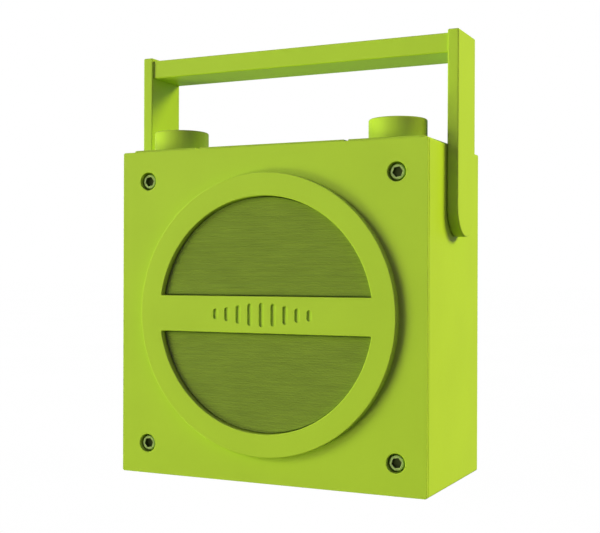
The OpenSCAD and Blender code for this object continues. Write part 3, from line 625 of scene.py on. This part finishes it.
def ring_opening(side):
    """One of the two D-shaped openings, above (1) or below (-1) the bar."""
    corner = OPENING_CORNER_R
    inner = OPENING_R - corner
    lift = BAR_H / 2 + corner
    reach = math.sqrt(inner ** 2 - lift ** 2)
    limit = math.degrees(math.atan2(lift, reach))
    points = arc(0, 0, OPENING_R, limit, 180 - limit, 120)
    points += arc(-reach, lift, corner, 180 - limit, 270, 6)[1:]
    points += arc(reach, lift, corner, 270, 360 + limit, 6)[:-1]
    if side > 0:
        return [(u, MID_Z + v) for u, v in points]
    return [(-u, MID_Z - v) for u, v in points]


def groove_height(step):
    """Height of a level bar that is so many steps from the middle of the row."""
    swell = math.cos(math.radians(step * GROOVE_TURN)) ** 2
    return BAR_H * (GROOVE_LOW + GROOVE_SWELL * swell)


def speaker_ring():
    """Ring with a bar across it, and a row of level bars sunk in the bar's face."""
    s = Shape("front")
    face, seat, back = RING_LO.y, PANEL_LO.y, RING_HI.y
    outer_r = (RING_HI.x - RING_LO.x) / 2
    step_in = SPIGOT_R - outer_r
    fronts, backs, floors = [], [], []
    profile = rounding(face, back, RING_EDGE_R, -1) + [(0, seat), (step_in, seat), (step_in, back)]
    s.through(circle(0, MID_Z, outer_r, 192), profile, fronts, backs)
    for side in (1, -1):
        s.through(ring_opening(side), straight(face, back, MOUTH_R, TINY_R, 1), fronts, backs)
    for i in range(GROOVES):
        step = i - (GROOVES - 1) / 2
        outline = stadium(step * GROOVE_PITCH, MID_Z, GROOVE_W, groove_height(step))
        floor = face + GROOVE_DEPTH
        profile = rounding(face, back, CRISP_R, 1) + rounding(floor, face, FINE_R, -1)[::-1]
        s.through(outline, profile, fronts, floors)
    for floor in floors:
        s.cap(floor)
    s.cap(*fronts)
    s.cap(*backs)
    return s.make("speaker_ring_bar", LIME_PLASTIC, "housing", ["speaker_ring"])


def field_height(u, v):
    """How far the cloth stands out here: two padded fields, rolled over at their edges."""
    inside = min(OPENING_R - math.hypot(u, v), abs(v) - BAR_H / 2)
    t = min(1, max(0, (inside - FIELD_GAP) / FIELD_ROLL))
    return math.sqrt(1 - (1 - t) ** 2) * FIELD_RISE


def thread_depth(u, row, phase):
    """Depth below the thread's crest; phase runs from 0 to 1 across one row of thread."""
    wander = sum(amount * math.sin(u / length + row * shift)
                 for amount, length, shift in THREAD_WANDER)
    return THREAD_RISE * (1 - (THREAD_SHARE + wander) * math.sin(math.pi * phase))


def grille_cloth():
    """Knitted cloth on two padded fields: rows of thread along X, each a small ridge with a wander."""
    s = Shape("front")
    radius = (GRILLE_HI.z - GRILLE_LO.z) / 2 - CLOTH_EDGE
    rows = int(2 * radius / THREAD_PITCH) * THREAD_STEPS
    grid = []
    for j in range(rows + 1):
        v = (2 * j / rows - 1) * radius * ROW_REACH
        half = math.sqrt(radius ** 2 - v ** 2)
        row, step = divmod(j, THREAD_STEPS)
        line = []
        for i in range(THREAD_COLUMNS + 1):
            u = half * math.sin(math.pi * (i / THREAD_COLUMNS - 0.5))
            y = RING_HI.y + thread_depth(u, row, step / THREAD_STEPS) - field_height(u, v)
            line.append(s.bm.verts.new((u, y, MID_Z + v)))
        grid.append(line)
    for a, b in zip(grid, grid[1:]):
        for i in range(THREAD_COLUMNS):
            s.bm.faces.new((a[i], a[i + 1], b[i + 1], b[i]))
    edge = grid[0] + [line[-1] for line in grid[1:-1]] + grid[-1][::-1]
    edge += [line[0] for line in grid[-2:0:-1]]
    rim = [s.bm.verts.new((vert.co.x, GRILLE_HI.y, vert.co.z)) for vert in edge]
    for i in range(len(edge)):
        s.bm.faces.new((edge[i - 1], edge[i], rim[i], rim[i - 1]))
    s.cap(rim)
    return s.make("grille_weave", GRILLE, "housing", ["grille_cloth"])


def knurled_circle(x, z):
    points = []
    for i in range(KNURL_STEPS):
        a = 2 * math.pi * i / KNURL_STEPS
        r = HEAD_R - KNURL_DEPTH * (i % 4 > 1)
        points.append((x + r * math.cos(a), z + r * math.sin(a)))
    return points


def hexagon(x, z):
    angles = [math.radians(HEX_TURN + 60 * i) for i in range(6)]
    corners = [(x + HEX_R * math.cos(a), z + HEX_R * math.sin(a)) for a in angles]
    return rounded_polygon(corners, HAIR_R, 3)


def socket_screws(name, node, face, direction, head_h, body):
    """A set of socket-head screws: knurled head, hexagon socket and shank."""
    s = Shape("front")
    lo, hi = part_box(node)
    tip = hi.y if direction > 0 else lo.y
    seat = face + direction * head_h
    socket = face + direction * head_h * SOCKET_DEPTH
    bare = face + direction * HEX_EDGE_H
    shank = SHANK_R - HEAD_R
    head = rounding(face, tip, MOUTH_R, -1) + [(0, seat), (shank, seat)]
    head += [(shank, tip - direction * SHANK_TIP[1]), (shank - SHANK_TIP[0], tip)]
    for x, z in corner_screws(node):
        first, last = s.wall(knurled_circle(x, z), head)
        s.cap(last)
        mouth, _ = s.wall(hexagon(x, z), rounding(face, bare, HEX_EDGE_R, 1) + [(0, bare)])
        s.cap(first, mouth)
        # Socket walls and floor below the paint's edge take the darker socket material: painted shade
        s.paint = 1
        _, floor = s.wall(hexagon(x, z), [(0, bare), (0, socket)])
        s.cap(floor)
        s.paint = 0
    return s.make(name, SCREW_PAINT, body, [node], SOCKET_PAINTED_SHADE)


# ---- Casing ----

def deck_pocket():
    """Cutter for the top deck's pocket, flared at the casing's top face."""
    s = Shape("top")
    outline = rounded_rect(DECK_LO.x - POCKET_GAP, DECK_LO.y - POCKET_GAP,
                           DECK_HI.x + POCKET_GAP, DECK_HI.y + POCKET_GAP, POCKET_CORNER_R)
    top = SHELL_HI.z
    # The flare ends a hair above the face, so that the cut leaves no sliver there
    flare = [(0, DECK_LO.z), (0, top - FINE_R), (FLARE_MID, top - FLARE_MID),
             (FINE_R, top + 0.001 * MM), (FINE_R, top + 2 * MM)]
    low, high = s.wall(outline, flare)
    s.cap(low)
    s.cap(high)
    return s.make("pocket_cutter", LIME_PLASTIC)


def bush_bore(sign):
    """Cutter for the hole of one pivot bush."""
    s = Shape("side")
    lo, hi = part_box("pivot_bushes")
    start, end = sorted((sign * (SHELL_HI.x - 2 * WALL), sign * (SHELL_HI.x + WALL)))
    s.plate(circle(0, (lo.z + hi.z) / 2, BUSH_HOLE_R, 64), start, end, TINY_R, TINY_R)
    return s.make("bore_cutter", LIME_PLASTIC)


def cabinet():
    """Square tube, with the deck's pocket and the holes for the handle's bushes cut out."""
    s = Shape("front")
    front, back = SHELL_LO.y, SHELL_HI.y
    outer = rounded_rect(SHELL_LO.x, SHELL_LO.z, SHELL_HI.x, SHELL_HI.z, CASING_CORNER_R)
    inner = rounded_rect(SHELL_LO.x + WALL, SHELL_LO.z + WALL,
                         SHELL_HI.x - WALL, SHELL_HI.z - WALL, CASING_CORNER_R)
    fronts, backs = [], []
    s.through(outer, straight(front, back, HAIR_R, EDGE_R), fronts, backs)
    s.through(inner, straight(front, back, HAIR_R, SMALL_R, 1), fronts, backs)
    s.cap(*fronts)
    s.cap(*backs)
    piece = s.make("cabinet_shell", LIME_PLASTIC)
    cut(piece, deck_pocket())
    for sign in (-1, 1):
        cut(piece, bush_bore(sign))
    settle(piece, "housing", ["cabinet"])
    return piece


def base_pad():
    lo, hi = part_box("base_pad")
    s = Shape("top")
    s.plate(rounded_rect(lo.x, lo.y, hi.x, hi.y, PAD_CORNER_R, 10), lo.z, hi.z, SMALL_R, PAD_TOP_R)
    return s.make("base_pad_foot", RUBBER, "housing", ["base_pad"])


def door_pocket(s, back, inner, rears, inners):
    """Pocket behind the port door: a mouth in the back, a box inside and the ports' openings."""
    wall = DOOR_POCKET_WALL
    floor = COVER_LO.y + wall
    lo = (DOOR_LO.x - DOOR_GAP, DOOR_LO.z - DOOR_GAP)
    hi = (DOOR_HI.x + DOOR_GAP, DOOR_HI.z + DOOR_GAP)
    floors, ends = [], []
    s.through(rounded_rect(*lo, *hi, DOOR_POCKET_CORNER_R),
              rounding(back, inner, FINE_R, 1) + [(0, floor)], rears, floors)
    box = rounded_rect(lo[0] - wall, lo[1] - wall, hi[0] + wall, hi[1] + wall, DOOR_BOX_CORNER_R)
    s.through(box, [(0, inner), (0, COVER_LO.y)], inners, ends)
    jack_lo, jack_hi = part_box("aux_jack")
    jack_x, low = (jack_lo.x + jack_hi.x) / 2, jack_lo.z
    bottom = low - SOCKET_BELOW
    openings = [circle(jack_x, low + JACK_AXIS_UP, JACK_HOLE_R, 48),
                rounded_rect(SOCKET_X[0], bottom, SOCKET_X[1], low + SOCKET_H, SOCKET_CORNER_R)]
    for outline in openings:
        s.through(outline, [(HAIR_R, floor), (0, floor - HAIR_R), (0, COVER_LO.y)], floors, ends)
    s.cap(*floors)
    s.cap(*ends)


def rear_cover():
    """Cover with screw recesses, the bass port's seat and the pocket behind the port door."""
    s = Shape("front")
    back = COVER_HI.y
    inner = back - COVER_T
    rears, inners = [], []
    s.through(rounded_rect(COVER_LO.x, COVER_LO.z, COVER_HI.x, COVER_HI.z, CASING_CORNER_R),
              straight(back, inner, SMALL_R, TINY_R), rears, inners)
    for x, z in corner_screws("rear_screws"):
        profile = rounding(back, inner, FINE_R, 1) + screw_recess(back - COVER_HEAD_FLOOR, inner)
        s.through(circle(x, z, RECESS_R, 64), profile, rears, inners)
    lo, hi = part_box("bass_port")
    seat_r = (hi.x - lo.x) / 2 + PORT_SEAT_GAP
    seat = back - PORT_FLANGE_T
    step = PORT_HOLE_R - seat_r
    s.through(circle((lo.x + hi.x) / 2, (lo.z + hi.z) / 2, seat_r, 96),
              rounding(back, inner, CRISP_R, 1) + [(0, seat), (step, seat), (step, inner)],
              rears, inners)
    door_pocket(s, back, inner, rears, inners)
    s.cap(*rears)
    s.cap(*inners)
    return s.make("rear_cover_shell", LIME_PLASTIC, "housing", ["rear_cover"])


def bass_port():
    """Flared tube: the flange flows into the bore."""
    lo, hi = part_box("bass_port")
    s = Shape("front")
    x, z = (lo.x + hi.x) / 2, (lo.z + hi.z) / 2
    outer_r = (hi.x - lo.x) / 2
    seat = hi.y - PORT_FLANGE_T
    step = PORT_TUBE_R - outer_r
    rears, inners = [], []
    s.through(circle(x, z, outer_r, 96),
              rounding(hi.y, lo.y, SOFT_R, -1) + [(0, seat), (step, seat), (step, lo.y)],
              rears, inners)
    s.through(circle(x, z, PORT_BORE_R, 96),
              rounding(hi.y, lo.y, PORT_FLARE_R, 1, 10) + [(0, lo.y)], rears, inners)
    s.cap(*rears)
    s.cap(*inners)
    return s.make("bass_port_flare", LIME_PLASTIC, "housing", ["bass_port"])


def port_door():
    """Door with a round knuckle on its lower edge and a finger notch in its free edge."""
    s = Shape("side")
    axis = (DOOR_HI.y - KNUCKLE_R, DOOR_LO.z + KNUCKLE_R)
    inner_y = DOOR_HI.y - DOOR_T
    dip = math.degrees(math.acos((axis[0] - inner_y) / KNUCKLE_R))
    outline = arc(*axis, KNUCKLE_R, 180 - dip, 360, 20)
    outline += arc(DOOR_HI.y - SMALL_R, DOOR_HI.z - SMALL_R, SMALL_R, 0, 90, 5)
    outline += arc(inner_y + TINY_R, DOOR_HI.z - TINY_R, TINY_R, 90, 180, 3)
    lefts, rights = [], []
    s.through(outline, straight(DOOR_LO.x, DOOR_HI.x, FINE_R, FINE_R), lefts, rights)
    s.through(circle(*axis, DOOR_PIN_HOLE_R, 24), [(0, DOOR_LO.x), (0, DOOR_HI.x)], lefts, rights)
    s.cap(*lefts)
    s.cap(*rights)
    piece = s.make("port_door_panel", LIME_PLASTIC)
    notch = Shape("side")
    mid_x = (DOOR_LO.x + DOOR_HI.x) / 2
    notch.plate(circle(DOOR_HI.y + NOTCH_OUT, DOOR_HI.z, NOTCH_R, 48),
                mid_x - NOTCH_HALF_W, mid_x + NOTCH_HALF_W, NOTCH_EDGE_R, NOTCH_EDGE_R)
    cut(piece, notch.make("notch_cutter", LIME_PLASTIC))
    settle(piece, "port_cover", ["port_door"])
    return piece


# ---- Top ----

def button_boxes():
    names = ("power", "source", "previous", "play", "next")
    return [(name,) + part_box("button_" + name) for name in names]


def cap_outline(lo, hi, grow):
    """A button cap's outline, grown by a distance; the button's box includes its flange."""
    inset = BUTTON_FLANGE - grow
    return rounded_rect(lo.x + inset, lo.y + inset, hi.x - inset, hi.y - inset, BUTTON_CORNER_R + grow)


def middle(node):
    """The middle of a node's box, seen from above."""
    lo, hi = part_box(node)
    return (lo.x + hi.x) / 2, (lo.y + hi.y) / 2


def deck_groove(sign):
    """Cutter for a groove across the deck, rounded at its upper edges."""
    s = Shape("front")
    floor, top = SHELL_HI.z, DECK_HI.z
    along, up = DECK_GROOVE_OVERRUN
    above = top + up
    u0 = sign * DECK_GROOVE_X - DECK_GROOVE_W / 2
    u1 = sign * DECK_GROOVE_X + DECK_GROOVE_W / 2
    r = DECK_GROOVE_EDGE_R
    section = [(u0, floor), (u1, floor), (u1, top - r)]
    section += arc(u1 + r, top - r, r, 180, 95, 5)[1:] + [(u1 + r, above), (u0 - r, above)]
    section += arc(u0 - r, top - r, r, 85, 0, 5)
    s.plate(section, DECK_LO.y - along, DECK_HI.y + along, 0, 0)
    return s.make("groove_cutter", LIME_PLASTIC)


def top_deck():
    """Raised plate with holes for the knob shafts, the buttons and the light, and two grooves."""
    s = Shape("top")
    top, bottom = DECK_HI.z, DECK_LO.z
    tops, bottoms = [], []
    s.through(rounded_rect(DECK_LO.x, DECK_LO.y, DECK_HI.x, DECK_HI.y, DECK_CORNER_R, 10),
              straight(top, bottom, CAP_R, TINY_R), tops, bottoms)
    fine_hole = straight(top, bottom, HAIR_R, TINY_R, 1)
    button_hole = straight(top, bottom, SOFT_R, TINY_R, 1)
    for node in ("volume_shaft", "tuning_shaft"):
        s.through(circle(*middle(node), SHAFT_HOLE_R, 48), fine_hole, tops, bottoms)
    for _, lo, hi in button_boxes():
        s.through(cap_outline(lo, hi, BUTTON_GAP), button_hole, tops, bottoms)
    s.through(circle(0, LIGHT_Y, LIGHT_HOLE_R, 32), fine_hole, tops, bottoms)
    s.cap(*tops)
    s.cap(*bottoms)
    piece = s.make("top_deck_plate", LIME_PLASTIC)
    for sign in (-1, 1):
        cut(piece, deck_groove(sign))
    settle(piece, "housing", ["top_deck"])
    return piece


def knob(kind):
    """Plain round knob with a rounded top edge, a hollow underside and a pointer line."""
    s = Shape("top")
    node = kind + "_knob"
    lo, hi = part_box(node)
    x, y = middle(node)
    r = (hi.x - lo.x) / 2
    side = rounding(lo.z, hi.z, SOFT_R, -1) + rounding(hi.z, lo.z, KNOB_EDGE_R, -1, 8)[::-1]
    low, high = s.wall(circle(x, y, r, 128), side)
    line, floor = s.wall(stadium(x, y + r * KNOB_LINE_AT, *KNOB_LINE),
                         rounding(hi.z, lo.z, HAIR_R, 1) + [(0, hi.z - KNOB_LINE_DEPTH)])
    cavity, roof = s.wall(circle(x, y, KNOB_CAVITY_R, 64),
                          straight(lo.z, lo.z + KNOB_CAVITY_H, CRISP_R, 0, 1))
    s.cap(high, line)
    s.cap(floor)
    s.cap(low, cavity)
    s.cap(roof)
    return s.make(node + "_cap", KNOB_PLASTIC, kind + "_dial", [node])


def triangle(x, y, size, sign):
    """A rounded triangle that points to +X (1) or -X (-1)."""
    tip = (x + sign * size, y)
    base_x = x - sign * size * TRIANGLE_BACK
    low, high = (base_x, y - size), (base_x, y + size)
    corners = [tip, high, low] if sign > 0 else [tip, low, high]
    return rounded_polygon(corners, TRIANGLE_R, 4)


def power_outlines(x, y):
    """An open ring and a line that comes up through its gap."""
    mid_y = y + POWER_RING_Y
    outer = arc(x, mid_y, POWER_RING_R + POWER_HALF_W, *POWER_ARC, 36)
    inner = arc(x, mid_y, POWER_RING_R - POWER_HALF_W, *POWER_ARC[::-1], 36)
    return [outer + inner, stadium(x, y + POWER_LINE_Y, 2 * POWER_HALF_W, POWER_LINE_H)]


def icon_outlines(name, x, y):
    """Generic control symbols, as outlines sunk in a button's cap."""
    if name == "play":
        return [triangle(x + PLAY_X, y, PLAY_SIZE, 1)]
    if name in ("next", "previous"):
        sign = 1 if name == "next" else -1
        return [triangle(x + sign * shift, y, SKIP_SIZE, sign) for shift in SKIP_X]
    if name == "source":
        return [stadium(x + step * SOURCE_PITCH, y, SOURCE_W, SOURCE_H + step * SOURCE_RISE)
                for step in (-1, 0, 1)]
    return power_outlines(x, y)


def push_button(name, lo, hi):
    """Button cap with a sunk symbol, and a stem that reaches down to its switch."""
    s = Shape("top")
    top = hi.z
    bottom = DECK_LO.z - BUTTON_SKIRT
    side = rounding(bottom, top, TINY_R, -1) + rounding(top, bottom, CAP_R, -1, 6)[::-1]
    low, high = s.wall(cap_outline(lo, hi, 0), side)
    tops = [high]
    x, y = middle("button_" + name)
    for outline in icon_outlines(name, x, y):
        edge, floor = s.wall(outline, [(ICON_EDGE, top), (0, top - ICON_EDGE), (0, top - ICON_DEPTH)])
        tops.append(edge)
        s.cap(floor)
    stem, stem_end = s.wall(circle(x, y, STEM_R, 32), [(0, bottom), (0, lo.z)])
    s.cap(*tops)
    s.cap(low, stem)
    s.cap(stem_end)
    return s.make(f"button_{name}_cap", KNOB_PLASTIC, name + "_key", ["button_" + name])


def status_light():
    lo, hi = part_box("status_light")
    s = Shape("top")
    first, last = s.wall(circle(0, LIGHT_Y, LIGHT_R, 32),
                         [(0, lo.z)] + rounding(hi.z, lo.z, CAP_R, -1, 6)[::-1])
    s.cap(first)
    s.cap(last)
    return s.make("status_light_lens", LENS, "housing", ["status_light"])


# ---- Handle ----

def handle_arm(side):
    """Flat arm with a round lower end and a square upper end."""
    s = Shape("side")
    lo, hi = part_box("handle_arm_" + side)
    r = (hi.y - lo.y) / 2
    mid_y = (hi.y + lo.y) / 2
    corner = ARM_CORNER_R
    outline = arc(mid_y, lo.z + r, r, 180, 360, 48)
    outline += arc(hi.y - corner, hi.z - corner, corner, 0, 90, 6)
    outline += arc(lo.y + corner, hi.z - corner, corner, 90, 180, 6)
    s.plate(outline, lo.x, hi.x, ARM_EDGE_R, ARM_EDGE_R)
    node = "handle_arm_" + side
    return s.make(node + "_blade", HANDLE_PLASTIC, "handle", [node])


def handle_crossbar():
    s = Shape("side")
    lo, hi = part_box("handle_crossbar")
    arm_lo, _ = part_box("handle_arm_right")
    half = arm_lo.x - CROSSBAR_END_GAP
    outline = rounded_rect(lo.y, lo.z, hi.y, hi.z, CROSSBAR_CORNER_R)
    s.plate(outline, -half, half, SOFT_R, SOFT_R)
    return s.make("handle_crossbar_grip", HANDLE_PLASTIC, "handle", ["handle_crossbar"])


# ---- Studio ----

CAMERA_AT = (225.1 * MM, -474.8 * MM, 97.1 * MM)
CAMERA_YAW = 25.43                  # degrees
CAMERA_PITCH = -0.07
CAMERA_ROLL = -0.19
CAMERA_LENS = 64.31
SENSOR_WIDTH = 36
SHIFT_Y = 0.0158

AMBIENT = (0.12, 0.05, 0.60)        # diffuse light from all round
REFLECTED = 0.35                    # brightness of the white surroundings in reflections
FLOOR_BOUNCE = 0.03                 # brightness of the floor as a diffuse light
FLOOR_HALF = 9                      # half of its width
LIGHT_DISTANCE = 8.0                # from the middle of the object
KEY_COLOUR = (0.955, 1, 0.65)
BACK_COLOUR = (1, 0.965, 0.1)
# name, azimuth, elevation, half angle, strength, colour, pieces that it leaves out
LIGHTS = [
    ("key", -140, 0, 28, 0.62, KEY_COLOUR, ()),
    ("key_low", -140, -22, 12, 0.41, KEY_COLOUR, ()),
    ("key_high", -140, 22, 12, 0.42, KEY_COLOUR, ()),
    ("fill_right", -12, 0, 14, 0.09, (1, 1, 1), ("volume_knob_cap", "tuning_knob_cap")),
    ("back_right", 38, 25, 14, 0.32, BACK_COLOUR, ()),
    ("back_right_casing", 38, 25, 14, 0.54, BACK_COLOUR, ("volume_knob_cap",)),
    ("back_right_side", 38, 25, 14, 0.44, BACK_COLOUR, ("volume_knob_cap", "handle_arm_left_blade")),
]


def camera():
    data = bpy.data.cameras.new("camera")
    data.lens = CAMERA_LENS
    data.sensor_width = SENSOR_WIDTH
    data.shift_y = SHIFT_Y
    data.clip_start = 0.01
    eye = bpy.data.objects.new("camera", data)
    eye.location = CAMERA_AT
    eye.rotation_euler = (math.radians(90 + CAMERA_PITCH), math.radians(CAMERA_ROLL),
                          math.radians(CAMERA_YAW))
    bpy.context.scene.collection.objects.link(eye)
    bpy.context.scene.camera = eye


def softbox(name, azimuth, elevation, half_angle, strength, colour, left_out):
    """A wide light that faces the object from a direction: azimuth 0 is +X, -90 the front.

    Strength 1 lights a white surface that faces it to full white.
    """
    data = bpy.data.lights.new(name, "AREA")
    data.shape = "RECTANGLE"
    data.size = 2 * LIGHT_DISTANCE * math.tan(math.radians(half_angle))
    data.size_y = data.size / 2
    data.energy = strength * (math.pi * LIGHT_DISTANCE) ** 2
    data.color = colour
    lamp = bpy.data.objects.new(name, data)
    lamp.visible_glossy = False
    around, up = math.radians(azimuth), math.radians(elevation)
    direction = Vector((math.cos(around) * math.cos(up), math.sin(around) * math.cos(up), math.sin(up)))
    lamp.location = Vector((0, 0, MID_Z)) + direction * LIGHT_DISTANCE
    lamp.rotation_euler = direction.to_track_quat("Z", "Y").to_euler()
    bpy.context.scene.collection.objects.link(lamp)
    if left_out:
        shaded = bpy.data.collections.new(name + "_left_out")
        for piece_name in left_out:
            shaded.objects.link(bpy.data.objects[piece_name])
        for member in shaded.collection_objects:
            member.light_linking.link_state = "EXCLUDE"
        lamp.light_linking.receiver_collection = shaded


def seen_or_reflected(tree, path):
    """A strength that is 1 where the camera sees it directly, and REFLECTED anywhere else."""
    strength = tree.nodes.new("ShaderNodeMapRange")
    strength.inputs["To Min"].default_value = REFLECTED
    strength.inputs["To Max"].default_value = 1.0
    tree.links.new(path.outputs["Is Camera Ray"], strength.inputs["Value"])
    return strength.outputs["Result"]


def split_light(tree, path, direct, diffuse, output):
    """Sends one shader to the camera and to reflections, and another to the diffuse light."""
    pick = tree.nodes.new("ShaderNodeMixShader")
    tree.links.new(path.outputs["Is Diffuse Ray"], pick.inputs[0])
    tree.links.new(direct.outputs[0], pick.inputs[1])
    tree.links.new(diffuse.outputs[0], pick.inputs[2])
    tree.links.new(pick.outputs[0], tree.nodes[output].inputs["Surface"])


def floor():
    """White paper that the camera sees as part of the backdrop.

    It takes no shadow, lets the lights under it through and gives the object little light.
    """
    s = Shape("top")
    corners = ((-1, -1), (1, -1), (1, 1), (-1, 1))
    s.bm.faces.new([s.bm.verts.new((x * FLOOR_HALF, y * FLOOR_HALF, 0)) for x, y in corners])
    n = Nodes("floor_paper")
    path = n.tree.nodes.new("ShaderNodeLightPath")
    glow = n.add("ShaderNodeEmission")
    n.link(n.ramp(n.noise(6), (0.995, 0.995, 0.995, 1), (1, 1, 1, 1)), glow.inputs["Color"])
    n.link(seen_or_reflected(n.tree, path), glow.inputs["Strength"])
    dim = n.add("ShaderNodeEmission", Strength=FLOOR_BOUNCE)
    split_light(n.tree, path, glow, dim, "Material Output")
    piece = s.make("floor", n.material)
    piece.visible_shadow = False


def world():
    """White for the camera, and dimmer where it lights the object or is reflected in it."""
    w = bpy.data.worlds.new("studio")
    bpy.context.scene.world = w
    w.use_nodes = True
    tree = w.node_tree
    path = tree.nodes.new("ShaderNodeLightPath")
    backdrop = tree.nodes["Background"]
    backdrop.inputs["Color"].default_value = (1, 1, 1, 1)
    tree.links.new(seen_or_reflected(tree, path), backdrop.inputs["Strength"])
    ambient = tree.nodes.new("ShaderNodeBackground")
    ambient.inputs["Color"].default_value = (*AMBIENT, 1)
    split_light(tree, path, backdrop, ambient, "World Output")


def studio():
    bpy.context.scene.view_settings.view_transform = "Standard"
    world()
    floor()
    for light in LIGHTS:
        softbox(*light)


def build():
    finish_cad_nodes()
    front_panel()
    speaker_ring()
    grille_cloth()
    socket_screws("front_screw_set", "front_screws", PANEL_LO.y + SCREW_SUNK, 1, HEAD_H, "housing")
    cabinet()
    base_pad()
    rear_cover()
    socket_screws("rear_screw_set", "rear_screws", COVER_HI.y - COVER_HEAD_SUNK, -1, COVER_HEAD_H,
                  "housing")
    bass_port()
    port_door()
    top_deck()
    for kind in ("volume", "tuning"):
        knob(kind)
    for name, lo, hi in button_boxes():
        push_button(name, lo, hi)
    status_light()
    for side in ("left", "right"):
        handle_arm(side)
    handle_crossbar()


build()
camera()
studio()
